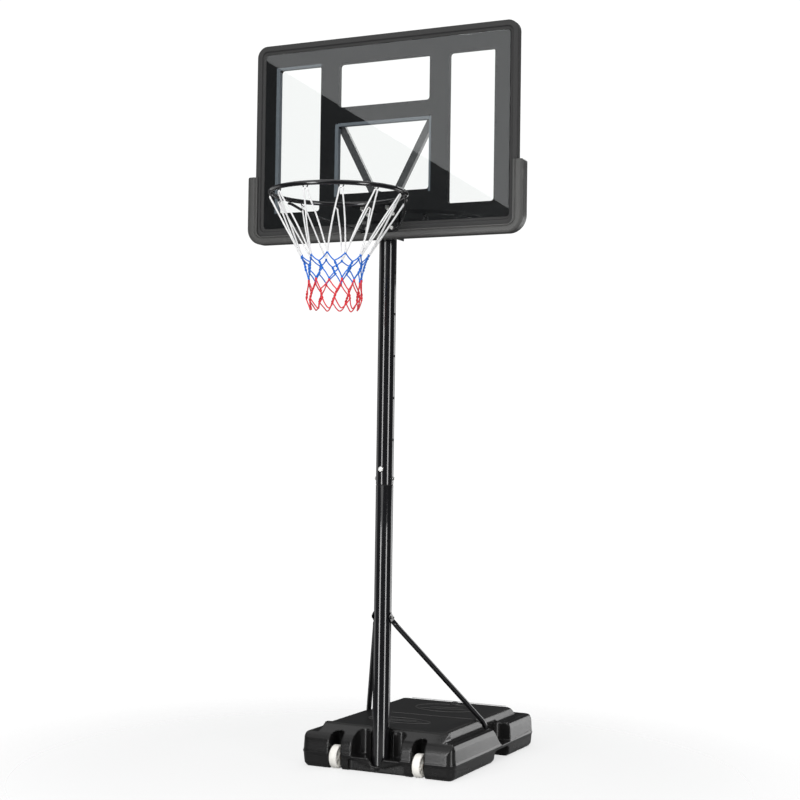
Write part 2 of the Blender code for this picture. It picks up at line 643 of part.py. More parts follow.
def build_board(carriage):
    """Clear front sheet, moulded backing with its windows, edge surround and lower bumper."""
    holes = [circle(x, RIM_BOLT_HIGH_Z, BOLT_R + 0.0005) for x in (-RIM_BOLT_X, RIM_BOLT_X)]
    plate = frame_outline(FRAME_INNER + GAP)
    at = (0.0, 0.0, 0.0)
    sheet = panel(plate, holes, SHEET_FRONT_Y, SHEET_FRONT_Y + SHEET_T)
    link("backboard_sheet", sheet, "clear_sheet", at, carriage)
    windows = [rounded(*box, WINDOW_CORNER_R, steps=3) for box in (SIDE_WINDOW, TOP_WINDOW, TARGET_WINDOW)]
    left, right, low, high = SIDE_WINDOW
    windows.append(rounded(-right, -left, low, high, WINDOW_CORNER_R, steps=3))
    screws = [circle(way * ARM_SCREW[0], ARM_SCREW[1], 0.0033, 8) for way in (-1, 1)]
    backing = panel(plate, holes + windows + screws, BACKING_FRONT_Y, BACKING_BACK_Y)
    link("backing_panel", backing, "backing", at, carriage)
    bead = FRAME_BEAD
    section = [
        (0.0, FRAME_BACK_Y),
        (0.0, FRAME_FRONT_Y + 0.006),
        (0.005, FRAME_FRONT_Y),
        (bead - 0.005, FRAME_FRONT_Y),
        (bead, FRAME_FRONT_Y + 0.005),
        (bead, FRAME_STEP_Y),
        (FRAME_INNER, FRAME_STEP_Y),
        (FRAME_INNER, FRAME_BACK_Y),
    ]
    surround = link("edge_surround", edging((frame_outline, True), section), "surround", at, carriage)
    for way, word in ((-1, "left"), (1, "right")):
        place = (way * RIM_BOLT_X, FRAME_BACK_Y - 0.015, RIM_BOLT_LOW_Z)
        drill(surround, f"cut_surround_bolt_{word}", place, "+Y", 0.06)
    reach = BUMPER_HALF_X - FRAME_HALF_X - GAP
    section = [
        (0.0, FRAME_BACK_Y),
        (0.0, BUMPER_FRONT_Y + 0.010),
        (0.008, BUMPER_FRONT_Y),
        (reach + BUMPER_LIP, BUMPER_FRONT_Y),
        (reach + BUMPER_LIP, FRAME_FRONT_Y - GAP),
        (reach, FRAME_FRONT_Y - GAP),
        (reach, FRAME_BACK_Y),
    ]
    bumper = link("bumper_pad", edging((bumper_outline, False), section), "bumper", at, carriage)
    half = BUMPER_NOTCH_HALF_X
    low, high = BUMPER_NOTCH_LOW_Z, BUMPER_NOTCH_TOP_Z
    notch = [(-half, high), (-half + 0.006, low), (half - 0.006, low), (half, high)]
    cut(bumper, "cut_bumper_notch", prism(notch, BUMPER_FRONT_Y - 0.02, FRAME_FRONT_Y - GAP / 2, plane="XZ"))


def build_carriage(carriage):
    """The steel channel that grips the pole, its clamp bolts, the height bolt and the two support arms."""
    web_back = WEB_FRONT_Y + PLATE_T
    cheek_out = CHEEK_X + PLATE_T
    channel = [
        (-cheek_out, WEB_FRONT_Y),
        (cheek_out, WEB_FRONT_Y),
        (cheek_out, CHEEK_BACK_Y),
        (CHEEK_X, CHEEK_BACK_Y),
        (CHEEK_X, web_back),
        (-CHEEK_X, web_back),
        (-CHEEK_X, CHEEK_BACK_Y),
        (-cheek_out, CHEEK_BACK_Y),
    ]
    bracket = link("pole_bracket", prism(channel, CHEEK_LOW_Z, CHEEK_TOP_Z), "gloss_steel", parent=carriage)
    drill(bracket, "cut_lock", (0.0, 0.0, LOCK_Z), "+X", 0.1)
    tab_in = cheek_out + GAP
    tab_out = tab_in + PLATE_T
    face = tab_out + GAP
    for word, height in CLAMP_ZS.items():
        drill(bracket, f"cut_clamp_{word}", (0.0, CLAMP_Y, height), "+X", 0.1)
        tabbed = face if word == "upper" else cheek_out + GAP
        length = 2 * tabbed + 0.009
        bolt(f"clamp_bolt_{word}", (-tabbed, CLAMP_Y, height), "-X", length, parent=carriage)
        nut(f"clamp_nut_{word}", (tabbed, CLAMP_Y, height), "+X", parent=carriage)
    stub = PLATE_T + GAP - 0.0005
    lock_face = cheek_out + GAP
    for way, word in ((-1, "left"), (1, "right")):
        axis = "+X" if way > 0 else "-X"
        at = (way * lock_face, 0.0, LOCK_Z)
        bolt(f"height_bolt_{word}", at, axis, stub, parent=carriage, head=0.0075)

    for way, word in ((-1, "left"), (1, "right")):
        low, top = Vector(ARM_LOW), Vector(ARM_TOP)
        along = (top - low).normalized()
        across = Vector((along.y, -along.x)) * (ARM_WIDTH / 2)
        corners = [low - across, low + across, top + across, top - across]
        outline = [(way * point.x, point.y) for point in corners]
        back = WEB_FRONT_Y + ARM_DEPTH
        beam = prism(outline, WEB_FRONT_Y, back, plane="XZ")
        arm = link(f"support_arm_{word}", beam, "backing", parent=carriage)
        xs = sorted((way * tab_in, way * tab_out))
        tab = block((xs[0], WEB_FRONT_Y + 0.001, ARM_TAB_LOW_Z), (xs[1], CHEEK_BACK_Y, ARM_TAB_TOP_Z))
        cut(arm, f"join_tab_{word}", tab, operation="UNION")
        cut(arm, f"trim_arm_{word}", block((-tab_in, -0.1, 2.0), (tab_in, 0.1, 2.2)))
        at = (way * tab_in, CLAMP_Y, CLAMP_ZS["upper"])
        drill(arm, f"cut_arm_clamp_{word}", at, "+X", 0.03)
        screw_x, screw_z = way * ARM_SCREW[0], ARM_SCREW[1]
        drill(arm, f"cut_arm_screw_{word}", (screw_x, -0.02, screw_z), "+Y", 0.06, 0.0033)
        at = (screw_x, back + GAP, screw_z)
        bolt(f"arm_screw_{word}", at, "+Y", 0.030, parent=carriage, head=0.0055, tall=0.004, shank=0.0028)


def build_rim(carriage):
    """Steel ring with net hooks, its tongue, angle bracket, side braces and the bolts through the board."""
    ring = [
        (RIM_R + RIM_TUBE_R * math.cos(angle), RIM_TUBE_R * math.sin(angle))
        for angle in [math.tau * step / 10 for step in range(10)]
    ]
    rim = link("rim_ring", lathe(ring, 60), "gloss_steel", (0.0, RIM_Y, RIM_Z), carriage)
    for number in range(HOOK_COUNT):
        angle = math.tau * number / HOOK_COUNT
        out = Vector((math.cos(angle), math.sin(angle), 0.0))
        along = Vector((-math.sin(angle), math.cos(angle), 0.0))
        root = Vector((0.0, RIM_Y, RIM_Z)) + out * RIM_R
        route = [root + along * reach + Vector((0.0, 0.0, drop)) for reach, drop in HOOK_ROUTE]
        cut(rim, f"join_hook_{number + 1}", rod(route, HOOK_R, 6, across=out), operation="UNION")

    plate_back = SHEET_FRONT_Y - GAP
    plate_front = plate_back - RIM_PLATE_T
    foot_back = FRAME_FRONT_Y - GAP
    foot_front = foot_back - RIM_PLATE_T
    flange_top = TONGUE_Z - GAP
    flange_low = flange_top - RIM_PLATE_T
    bend_low_z, bend_high_z, shift = BRACKET_BEND_LOW_Z, BRACKET_BEND_HIGH_Z, BRACKET_BEND_SHIFT
    profile = [(foot_back, BRACKET_FOOT_Z), (foot_front, BRACKET_FOOT_Z), (foot_front, bend_low_z + shift)]
    profile += [(plate_front, bend_high_z + shift), (plate_front, flange_low), (FLANGE_FRONT_Y, flange_low)]
    profile += [(FLANGE_FRONT_Y, flange_top), (plate_back, flange_top)]
    profile += [(plate_back, bend_high_z), (foot_back, bend_low_z)]
    bracket = prism(profile, -PLATE_HALF_X, PLATE_HALF_X, plane="YZ")
    bracket = link("rim_bracket", bracket, "gloss_steel", parent=carriage)
    reach = RIM_R + RIM_TUBE_R + GAP
    spread = math.asin(TONGUE_HALF_X / reach)
    tongue = [(PLATE_HALF_X, plate_front - 0.006), (-PLATE_HALF_X, plate_front - 0.006)]
    for step in range(9):
        angle = spread * (step / 4 - 1)
        tongue.append((reach * math.sin(angle), RIM_Y + reach * math.cos(angle)))
    tongue = prism(tongue, TONGUE_Z, TONGUE_Z + RIM_PLATE_T)
    tongue = link("rim_tongue", tongue, "gloss_steel", parent=carriage)
    for way, word in ((-1, "left"), (1, "right")):
        levels = ((RIM_BOLT_LOW_Z, foot_front, "low"), (RIM_BOLT_HIGH_Z, plate_front, "high"))
        for height, front, level in levels:
            drill(bracket, f"cut_board_{level}_{word}", (way * RIM_BOLT_X, front, height), "+Y", 0.03)
            at = (way * RIM_BOLT_X, front - GAP, height)
            grip = BACKING_BACK_Y - front + 0.008
            bolt(f"rim_bolt_{level}_{word}", at, "-Y", grip, parent=carriage, head=0.0070, shank=0.0038)
            at = (way * RIM_BOLT_X, BACKING_BACK_Y + GAP, height)
            nut(f"rim_nut_{level}_{word}", at, "+Y", parent=carriage, tall=0.0055)
        at = (way * RIM_BOLT_X, FLANGE_BOLT_Y, flange_top)
        drill(bracket, f"cut_flange_{word}", at, "+Z", 0.03)
        drill(tongue, f"cut_tongue_{word}", at, "+Z", 0.03)
        at = (way * RIM_BOLT_X, FLANGE_BOLT_Y, TONGUE_Z + RIM_PLATE_T + GAP)
        bolt(f"tongue_bolt_{word}", at, "+Z", 0.019, parent=carriage, shank=0.0038)
        at = (way * RIM_BOLT_X, FLANGE_BOLT_Y, flange_low - GAP)
        nut(f"tongue_nut_{word}", at, "-Z", parent=carriage)
        route = [(way * x, y, RIM_Z + drop) for x, y, drop in BRACE_ROUTE]
        link(f"rim_brace_{word}", rod(route, BRACE_R, 10), "gloss_steel", parent=carriage)


def build_net(carriage):
    """The plain outer shape of the net: an open tapering sleeve."""
    outer = [(radius, height - RIM_Z) for radius, height in NET_OUTLINE]
    inner = [(radius - NET_WALL, height) for radius, height in reversed(outer)]
    link("net", lathe(outer + inner, 24), "net_white", (0.0, RIM_Y, RIM_Z), carriage)


def main():
    """Build every piece of the hoop."""
    for obj in list(bpy.data.objects):
        bpy.data.objects.remove(obj, do_unlink=True)
    stand = empty("stand", (0.0, 0.0, 0.0))
    carriage = empty("board_carriage", (0.0, 0.0, LOCK_Z))
    build_tank(stand)
    build_filler_cap()
    build_wheels(stand)
    build_pole(stand)
    build_struts(stand)
    build_board(carriage)
    build_carriage(carriage)
    build_rim(carriage)
    build_net(carriage)


main()
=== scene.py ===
"""Looks of a free-standing basketball hoop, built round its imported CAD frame.

Metres, +Z up. The origin is on the floor under the centre of the pole, and the rim points to -Y.
"""

import logging
import math
import random
from collections.abc import Callable, Sequence
from dataclasses import dataclass
from enum import Enum

import bmesh
import bpy
from mathutils import Matrix, Vector


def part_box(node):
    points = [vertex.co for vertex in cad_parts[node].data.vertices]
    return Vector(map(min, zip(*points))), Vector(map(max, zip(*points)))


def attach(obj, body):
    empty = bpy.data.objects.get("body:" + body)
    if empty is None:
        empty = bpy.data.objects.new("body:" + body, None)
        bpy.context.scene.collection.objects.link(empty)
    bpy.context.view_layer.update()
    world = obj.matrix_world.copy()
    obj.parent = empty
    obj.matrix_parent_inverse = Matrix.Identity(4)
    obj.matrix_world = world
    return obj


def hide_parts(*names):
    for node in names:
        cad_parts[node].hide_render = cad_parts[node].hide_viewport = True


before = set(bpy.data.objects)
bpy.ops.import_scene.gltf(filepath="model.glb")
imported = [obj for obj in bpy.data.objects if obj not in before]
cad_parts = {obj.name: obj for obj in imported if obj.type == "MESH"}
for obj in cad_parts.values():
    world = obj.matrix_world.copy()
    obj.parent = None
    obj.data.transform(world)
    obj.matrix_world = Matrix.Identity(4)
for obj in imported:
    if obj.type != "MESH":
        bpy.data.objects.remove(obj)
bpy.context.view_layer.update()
LOG = logging.getLogger("hoop")
GAP = 0.0003

Colour = tuple[float, float, float]
Flat = tuple[float, float]
Solid = tuple[float, float, float]


class Body(Enum):
    """The CAD body that a piece moves with."""

    STAND = "stand"
    CARRIAGE = "carriage"
    LEFT_WHEEL = "wheel_left"
    RIGHT_WHEEL = "wheel_right"
    CAP = "filler_cap"


class Plane(Enum):
    """Where an outline is drawn, as the axes of its two numbers and of its depth."""

    FLOOR = (0, 1, 2)
    BOARD = (0, 2, 1)
    SIDE = (1, 2, 0)


class Side(Enum):
    """Left or right of the hoop, as a sign on X."""

    LEFT = -1
    RIGHT = 1

    @property
    def word(self) -> str:
        """The side in lower case, as piece names have it."""
        return self.name.lower()


# ---------------------------------------------------------------------------------------------- shading


class Wire:
    """A node's output, on which sums are written as plain expressions."""

    def __init__(self, graph: "Graph", socket: bpy.types.NodeSocket) -> None:
        """Wrap one output socket of a graph."""
        self.graph = graph
        self.socket = socket

    def _math(self, operation: str, first: "Wire | float", second: "Wire | float") -> "Wire":
        """Add a Math node on two values."""
        return self.graph.wire("ShaderNodeMath", {"operation": operation}, {0: first, 1: second})

    def __add__(self, other: "Wire | float") -> "Wire":
        """self + other."""
        return self._math("ADD", self, other)

    def __radd__(self, other: float) -> "Wire":
        """other + self."""
        return self._math("ADD", other, self)

    def __sub__(self, other: "Wire | float") -> "Wire":
        """self - other."""
        return self._math("SUBTRACT", self, other)

    def __rsub__(self, other: float) -> "Wire":
        """other - self."""
        return self._math("SUBTRACT", other, self)

    def __mul__(self, other: "Wire | float") -> "Wire":
        """self * other."""
        return self._math("MULTIPLY", self, other)

    def __rmul__(self, other: float) -> "Wire":
        """other * self."""
        return self._math("MULTIPLY", other, self)

    def __pow__(self, power: float) -> "Wire":
        """self ** power."""
        return self._math("POWER", self, power)

    def __mod__(self, period: float) -> "Wire":
        """self % period, for values below zero too."""
        return self._math("FLOORED_MODULO", self, period)

    def __abs__(self) -> "Wire":
        """abs(self)."""
        return self._math("ABSOLUTE", self, 0.0)

    def rising(self, low: float, high: float) -> "Wire":
        """Turn the value into a smooth mask.

        Args:
            low: Where the mask is still 0.
            high: Where it has reached 1.

        Returns:
            The mask, from 0 to 1.
        """
        return self.graph.wire(
            "ShaderNodeMapRange",
            {"interpolation_type": "SMOOTHSTEP"},
            {"Value": self, "From Min": low, "From Max": high},
        )

    def within(self, middle: float, half: float, soft: float) -> "Wire":
        """Mask a band of values.

        Args:
            middle: Centre of the band.
            half: Half of its width.
            soft: Width of the fade at each edge.

        Returns:
            1 inside the band and 0 outside it.
        """
        return 1.0 - abs(self - middle).rising(half, half + soft)


class Graph:
    """A node tree and short ways to add to it."""

    def __init__(self, tree: bpy.types.NodeTree) -> None:
        """Take over a tree and empty it."""
        self.tree = tree
        tree.nodes.clear()

    def add(
        self, kind: str, settings: dict[str, object] | None = None, sockets: dict | None = None
    ) -> bpy.types.Node:
        """Add one node.

        Args:
            kind: The node's type.
            settings: What is set on the node first; "stops" are a ramp's (place, colour) pairs.
            sockets: Values or links of its inputs, by name or number.

        Returns:
            The node.
        """
        node = self.tree.nodes.new(kind)
        for name, value in (settings or {}).items():
            if name == "stops":
                ramp = node.color_ramp.elements
                for index, (place, colour) in enumerate(value):
                    stop = ramp[index] if index < 2 else ramp.new(place)
                    stop.position = place
                    stop.color = (*colour, 1.0)
            else:
                setattr(node, name, value)
        for key, value in (sockets or {}).items():
            socket = node.inputs[key]
            if isinstance(value, Wire):
                self.tree.links.new(value.socket, socket)
            elif isinstance(value, bpy.types.Node):
                self.tree.links.new(value.outputs[0], socket)
            elif isinstance(value, tuple) and len(socket.default_value) == 4 and len(value) == 3:
                socket.default_value = (*value, 1.0)
            else:
                socket.default_value = value
        return node

    def wire(
        self,
        kind: str,
        settings: dict[str, object] | None = None,
        sockets: dict | None = None,
        out: int | str = 0,
    ) -> Wire:
        """Add one node and return one of its outputs; the other arguments are those of add."""
        return Wire(self, self.add(kind, settings, sockets).outputs[out])

    def place(self) -> Wire:
        """The point on the object, in metres."""
        return self.wire("ShaderNodeTexCoord", out="Object")

    def stretched(self, place: Wire, scale: Solid) -> Wire:
        """The point with each axis scaled."""
        return self.wire("ShaderNodeVectorMath", {"operation": "MULTIPLY"}, {0: place, 1: scale})

    def axes(self, place: Wire) -> tuple[Wire, Wire, Wire]:
        """The three coordinates of a point."""
        node = self.add("ShaderNodeSeparateXYZ", sockets={0: place})
        return tuple(Wire(self, output) for output in node.outputs)

    def noise(self, place: Wire, scale: float, detail: float = 2.0) -> Wire:
        """Cloudy noise round 0.5, with a scale in cells a metre."""
        return self.wire("ShaderNodeTexNoise", sockets={"Vector": place, "Scale": scale, "Detail": detail})

    def cells(self, place: Wire, scale: float) -> Wire:
        """Distance to the nearest of scattered points, for grain."""
        sockets = {"Vector": place, "Scale": scale, "Smoothness": 0.6}
        return self.wire("ShaderNodeTexVoronoi", {"feature": "SMOOTH_F1"}, sockets)

    def tint(self, share: Wire, low: "Colour | Wire", high: "Colour | Wire") -> Wire:
        """Mix two colours by a mask."""
        return self.wire("ShaderNodeMix", {"data_type": "RGBA"}, {0: share, 6: low, 7: high}, out=2)

    def relief(self, height: Wire, depth: float, strength: float = 1.0) -> Wire:
        """Bump a surface by a height from 0 to 1, with a depth in metres."""
        sockets = {"Height": height, "Distance": depth, "Strength": strength}
        return self.wire("ShaderNodeBump", sockets=sockets)


def shaded(colour: Colour, share: float) -> Colour:
    """A colour made darker or lighter by a factor."""
    return tuple(channel * share for channel in colour)


@dataclass(frozen=True)
class Finish:
    """A surface finish; its material is made once, on first use."""

    name: str
    slot: str

    def shade(self, graph: Graph) -> bpy.types.Node:
        """Build the shader; each finish has its own."""
        raise NotImplementedError

    def material(self) -> bpy.types.Material:
        """The material of this finish, made on the first call."""
        made = bpy.data.materials.get(self.name)
        if made is None:
            made = bpy.data.materials.new(self.name)
            made.use_nodes = True
            graph = Graph(made.node_tree)
            shader = self.shade(graph)
            graph.add("ShaderNodeOutputMaterial", sockets={"Surface": shader})
        return made


@dataclass(frozen=True)
class MouldedPlastic(Finish):
    """Injection- or blow-moulded plastic with a fine pebble grain."""

    colour: Colour
    roughness: float
    grain: float = 520.0
    depth: float = 0.00025
    specular: float = 0.5
    uneven: float = 0.12

    def shade(self, graph: Graph) -> bpy.types.Node:
        """Grain in the relief, cloudy gloss and faint rub marks."""
        place = graph.place()
        cloud = graph.noise(place, 7.0, 4.0)
        rubs = graph.noise(graph.stretched(place, (60.0, 60.0, 14.0)), 1.0, 5.0).rising(0.60, 0.74)
        height = graph.cells(place, self.grain) * 0.7 + graph.noise(place, self.grain * 2.1) * 0.5
        base = graph.tint(cloud, shaded(self.colour, 0.8), shaded(self.colour, 1.2))
        return graph.add(
            "ShaderNodeBsdfPrincipled",
            sockets={
                "Base Color": graph.tint(rubs * 0.35, base, shaded(self.colour, 1.9)),
                "Roughness": cloud * self.uneven + rubs * 0.07 + (self.roughness - self.uneven / 2),
                "Specular IOR Level": self.specular,
                "Normal": graph.relief(height, self.depth, 0.6),
            },
        )


@dataclass(frozen=True)
class TankPlastic(Finish):
    """The ballast tank's plastic: leathery on the deck, smoother and glossier on the walls."""

    colour: Colour
    deck_z: float
    seam_z: float

    def shade(self, graph: Graph) -> bpy.types.Node:
        """Deck grain, flow lines, the parting line's dashes, dust near the floor and a painted highlight on
        sharp edges.
        """
        place = graph.place()
        _, along, up = graph.axes(place)
        deck = up.rising(self.deck_z - 0.006, self.deck_z - 0.002)
        cloud = graph.noise(place, 5.0, 5.0)
        leather = graph.cells(place, 260.0)
        pores = graph.noise(place, 1100.0, 2.0)
        flow = graph.noise(graph.stretched(place, (3.0, 95.0, 30.0)), 1.0, 3.0)
        seam = up - along * 0.026
        dash = seam.within(self.seam_z, 0.0007, 0.0006) * (along % 0.064).within(0.032, 0.022, 0.001)
        edge = graph.wire("ShaderNodeNewGeometry", out="Pointiness").rising(0.515, 0.58)
        dust = (1.0 - up.rising(0.0, 0.05)) * graph.noise(place, 30.0, 4.0).rising(0.35, 0.8)
        base = graph.tint(cloud, shaded(self.colour, 0.75), shaded(self.colour, 1.25))
        # painted highlight: sharp edges are lightened towards grey; the lighter dust near the floor is real
        dust_and_edge_highlight = graph.tint(edge * 0.2 + dust * 0.06, base, (0.075, 0.074, 0.072))
        height = leather * (deck * 0.55 + 0.18) + pores * 0.25 + flow * (deck * 0.45 + 0.1)
        return graph.add(
            "ShaderNodeBsdfPrincipled",
            sockets={
                "Base Color": graph.tint(dash, dust_and_edge_highlight, (0.001, 0.001, 0.001)),
                "Roughness": deck * 0.14 + cloud * 0.12 + edge * 0.04 + dust * 0.12 + 0.17,
                "Specular IOR Level": 0.42,
                "Normal": graph.relief(height - dash * 1.5, 0.0006, 0.55),
            },
        )


@dataclass(frozen=True)
class Enamel(Finish):
    """Baked paint on steel, with a slight orange peel."""

    colour: Colour
    roughness: float
    coat: float = 0.6
    peel: float = 0.00018

    def shade(self, graph: Graph) -> bpy.types.Node:
        """Gloss paint, faint rubs down its length and a little dust in the gloss."""
        place = graph.place()
        peel = graph.noise(place, 190.0, 2.0)
        cloud = graph.noise(place, 9.0, 3.0)
        rubs = graph.noise(graph.stretched(place, (420.0, 420.0, 9.0)), 1.0, 3.0).rising(0.62, 0.75)
        base = graph.tint(cloud, shaded(self.colour, 0.85), shaded(self.colour, 1.15))
        return graph.add(
            "ShaderNodeBsdfPrincipled",
            sockets={
                "Base Color": graph.tint(rubs * 0.25, base, shaded(self.colour, 3.0)),
                "Roughness": cloud * 0.10 + rubs * 0.06 + (self.roughness - 0.05),
                "Coat Weight": self.coat,
                "Coat Roughness": 0.06,
                "Normal": graph.relief(peel, self.peel, 0.35),
            },
        )


@dataclass(frozen=True)
class ZincPlate(Finish):
    """Bright zinc on small steel fasteners."""

    colour: Colour = (0.72, 0.72, 0.70)
    roughness: float = 0.28

    def shade(self, graph: Graph) -> bpy.types.Node:
        """Spangled metal with turned marks and a dull bloom in patches."""
        place = graph.place()
        spangle = graph.cells(place, 700.0)
        bloom = graph.noise(place, 160.0, 4.0)
        marks = graph.noise(graph.stretched(place, (300.0, 300.0, 2600.0)), 1.0, 2.0)
        return graph.add(
            "ShaderNodeBsdfPrincipled",
            sockets={
                "Base Color": graph.tint(bloom, shaded(self.colour, 0.7), shaded(self.colour, 1.15)),
                "Metallic": 1.0,
                "Roughness": bloom * 0.2 + spangle * 0.1 + (self.roughness - 0.12),
                "Normal": graph.relief(marks * 0.6 + spangle * 0.4, 0.00008, 0.5),
            },
        )


@dataclass(frozen=True)
class ClearSheet(Finish):
    """Polished clear plastic: what lies behind it shows, and it mirrors the room."""

    tint: Colour = (0.975, 0.985, 0.98)
    mirrored: float = 0.045

    def shade(self, graph: Graph) -> bpy.types.Node:
        """A thin see-through skin, glossier at a slant, with very faint smears in its gloss."""
        place = graph.place()
        slant = graph.wire("ShaderNodeLayerWeight", {}, {"Blend": 0.5}, out="Facing")
        smears = graph.noise(graph.stretched(place, (4.0, 4.0, 11.0)), 1.0, 4.0).rising(0.5, 0.9)
        gloss = graph.add(
            "ShaderNodeBsdfPrincipled",
            sockets={
                "Base Color": (0.96, 0.97, 0.98),
                "Metallic": 1.0,
                "Roughness": smears * 0.02 + 0.010,
            },
        )
        clear = graph.add("ShaderNodeBsdfTransparent", sockets={"Color": self.tint})
        share = slant**5.0 * (1.0 - self.mirrored) + self.mirrored
        return graph.add("ShaderNodeMixShader", sockets={0: share, 1: clear, 2: gloss})


@dataclass(frozen=True)
class BevelLitBacking(Finish):
    """The moulded backing: black, with painted light on the bevels along some window edges."""

    colour: Colour
    # band is the colour of the painted light on the window bevels
    band: Colour
    side_window: tuple[float, float, float, float]
    target: tuple[float, float, float, float]
    lit_band_width: float = 0.013

    def shade(self, graph: Graph) -> bpy.types.Node:
        """Fine moulded grain; pale bands of painted light lie left of the left window and round the target
        window.
        """
        place = graph.place()
        across, _, up = graph.axes(place)
        left, right, low, high = self.side_window
        half = self.lit_band_width / 2
        tall = up.within((low + high) / 2, (high - low) / 2, 0.002)
        upright = across.within(left - half, half, 0.0015) * tall
        over = up.within(high + half * 0.6, half * 0.6, 0.0015) * across.within(
            (left + right) / 2 - half, (right - left) / 2 + half, 0.002
        )
        left, right, low, high = self.target
        right_side = across.within(right + half * 0.5, half * 0.5, 0.0015)
        sides = across.within(left - half, half, 0.0015) + right_side
        sides = sides * up.within((low + high) / 2, (high - low) / 2 + half, 0.003)
        top = up.within(high + half * 0.8, half * 0.8, 0.0015) * across.within(0.0, right + half, 0.003)
        # painted highlight: the pale bands stand for window bevels catching the light
        band = (upright + over + sides + top).rising(0.05, 0.8)
        cloud = graph.noise(place, 6.0, 3.0)
        height = graph.cells(place, 480.0)
        base = graph.tint(cloud, shaded(self.colour, 0.85), shaded(self.colour, 1.2))
        return graph.add(
            "ShaderNodeBsdfPrincipled",
            sockets={
                "Base Color": graph.tint(band, base, self.band),
                "Roughness": cloud * 0.12 + 0.36,
                "Specular IOR Level": 0.12,
                "Normal": graph.relief(height + band * 0.6, 0.0003, 0.5),
            },
        )


@dataclass(frozen=True)
class BraidedCord(Finish):
    """Braided nylon cord, in one colour."""

    colour: Colour
    fuzz: float = 0.35

    def shade(self, graph: Graph) -> bpy.types.Node:
        """Slanting plaits in the relief, with painted shade between them and a soft sheen."""
        place = graph.place()
        bands = {"wave_type": "BANDS", "bands_direction": "DIAGONAL"}
        weave = {"Scale": 190.0, "Distortion": 1.2, "Detail": 2.0}
        slanted = graph.wire("ShaderNodeTexWave", bands, {"Vector": place, **weave, "Detail Scale": 1.5})
        turned = graph.stretched(place, (-1.0, -1.0, 1.0))
        crossed = graph.wire("ShaderNodeTexWave", bands, {"Vector": turned, **weave})
        plait = slanted * crossed
        soil = graph.noise(place, 45.0, 3.0)
        base = graph.tint(soil, shaded(self.colour, 0.93), self.colour)
        return graph.add(
            "ShaderNodeBsdfPrincipled",
            sockets={
                # painted shade: the colour darkens in the grooves between the plaits
                "Base Color": graph.tint(plait.rising(0.0, 0.5), shaded(self.colour, 0.88), base),
                "Roughness": soil * 0.15 + 0.62,
                "Sheen Weight": self.fuzz,
                "Specular IOR Level": 0.3,
                "Normal": graph.relief(plait, 0.0006, 0.7),
            },
        )


@dataclass(frozen=True)
class StudioFloor(Finish):
    """The seamless pale floor."""

    weight: float = 0.35

    def shade(self, graph: Graph) -> bpy.types.Node:
        """A pale matt surface that thins out, so that it ends in the white round it."""
        place = graph.place()
        across, along, _ = graph.axes(place)
        reach = (across * across + along * along) ** 0.5
        cloud = graph.noise(place, 0.8, 2.0)
        paint = graph.add(
            "ShaderNodeBsdfPrincipled",
            sockets={
                "Base Color": graph.tint(cloud, (0.90, 0.90, 0.905), (0.93, 0.93, 0.93)),
                "Roughness": 0.55,
                "Specular IOR Level": 0.25,
            },
        )
        open_air = graph.add("ShaderNodeBsdfTransparent")
        share = (1.0 - reach.rising(0.9, 2.2)) * self.weight
        return graph.add("ShaderNodeMixShader", sockets={0: share, 1: open_air, 2: paint})


TANK = TankPlastic("tank_plastic_skin", "tank_plastic", (0.0085, 0.0083, 0.0083), 0.155, 0.046)
CAP_PLASTIC = MouldedPlastic("cap_plastic", "tank_plastic", (0.014, 0.014, 0.015), 0.38)
# painted highlight: the deck marks are the tank's black plastic, made lighter grey to stand for light on
# their ridges
MARK_HIGHLIGHT = MouldedPlastic("deck_mark_painted_highlight", "tank_plastic", (0.085, 0.084, 0.082), 0.34)
POLE_PAINT = Enamel("pole_paint", "pole_enamel", (0.006, 0.006, 0.007), 0.14, 0.7, 0.00001)
STRUT_PAINT = Enamel("strut_paint", "pole_enamel", (0.007, 0.007, 0.008), 0.20, 0.6, 0.00002)
ARM_PAINT = Enamel("arm_paint", "arm_enamel", (0.030, 0.031, 0.034), 0.34, 0.25)
RIM_PAINT = Enamel("rim_paint", "rim_enamel", (0.006, 0.006, 0.007), 0.16, 0.6, 0.00008)
WHEEL = MouldedPlastic("wheel_cream", "wheel_plastic", (0.88, 0.86, 0.81), 0.42, 300.0, 0.0002)
HUB = MouldedPlastic("wheel_hub_tan", "wheel_plastic", (0.22, 0.14, 0.075), 0.45, 300.0, 0.0003)
SHEET = ClearSheet("clear_sheet_skin", "clear_sheet")
SURROUND = MouldedPlastic(
    "surround_plastic", "surround_plastic", (0.006, 0.006, 0.007), 0.30, 640.0, 0.00008, 0.22
)
BUMPER = MouldedPlastic("bumper_grained", "bumper_plastic", (0.060, 0.060, 0.058), 0.42, 380.0, 0.0005)
WHITE_CORD = BraidedCord("cord_white", "net_cord", (0.95, 0.95, 0.95))
BLUE_CORD = BraidedCord("cord_blue", "net_cord", (0.004, 0.17, 0.72))
RED_CORD = BraidedCord("cord_red", "net_cord", (0.80, 0.030, 0.045))
ZINC = ZincPlate("zinc_plate", "zinc_fastener")
BLACK_ZINC = Enamel("black_fastener_coat", "black_fastener", (0.018, 0.018, 0.019), 0.35, 0.2)
FLOOR = StudioFloor("studio_floor", "")


# ---------------------------------------------------------------------------------------------- shaping


def outward(angle: float) -> Vector:
    """The level direction at an angle round Z."""
    return Vector((math.cos(angle), math.sin(angle), 0.0))


def skin(
    bm: bmesh.types.BMesh, low: Sequence[bmesh.types.BMVert], high: Sequence[bmesh.types.BMVert]
) -> None:
    """Join two rings of the same count with a wall of faces."""
    count = len(low)
    for step in range(count):
        after = (step + 1) % count
        bm.faces.new([low[step], low[after], high[after], high[step]])


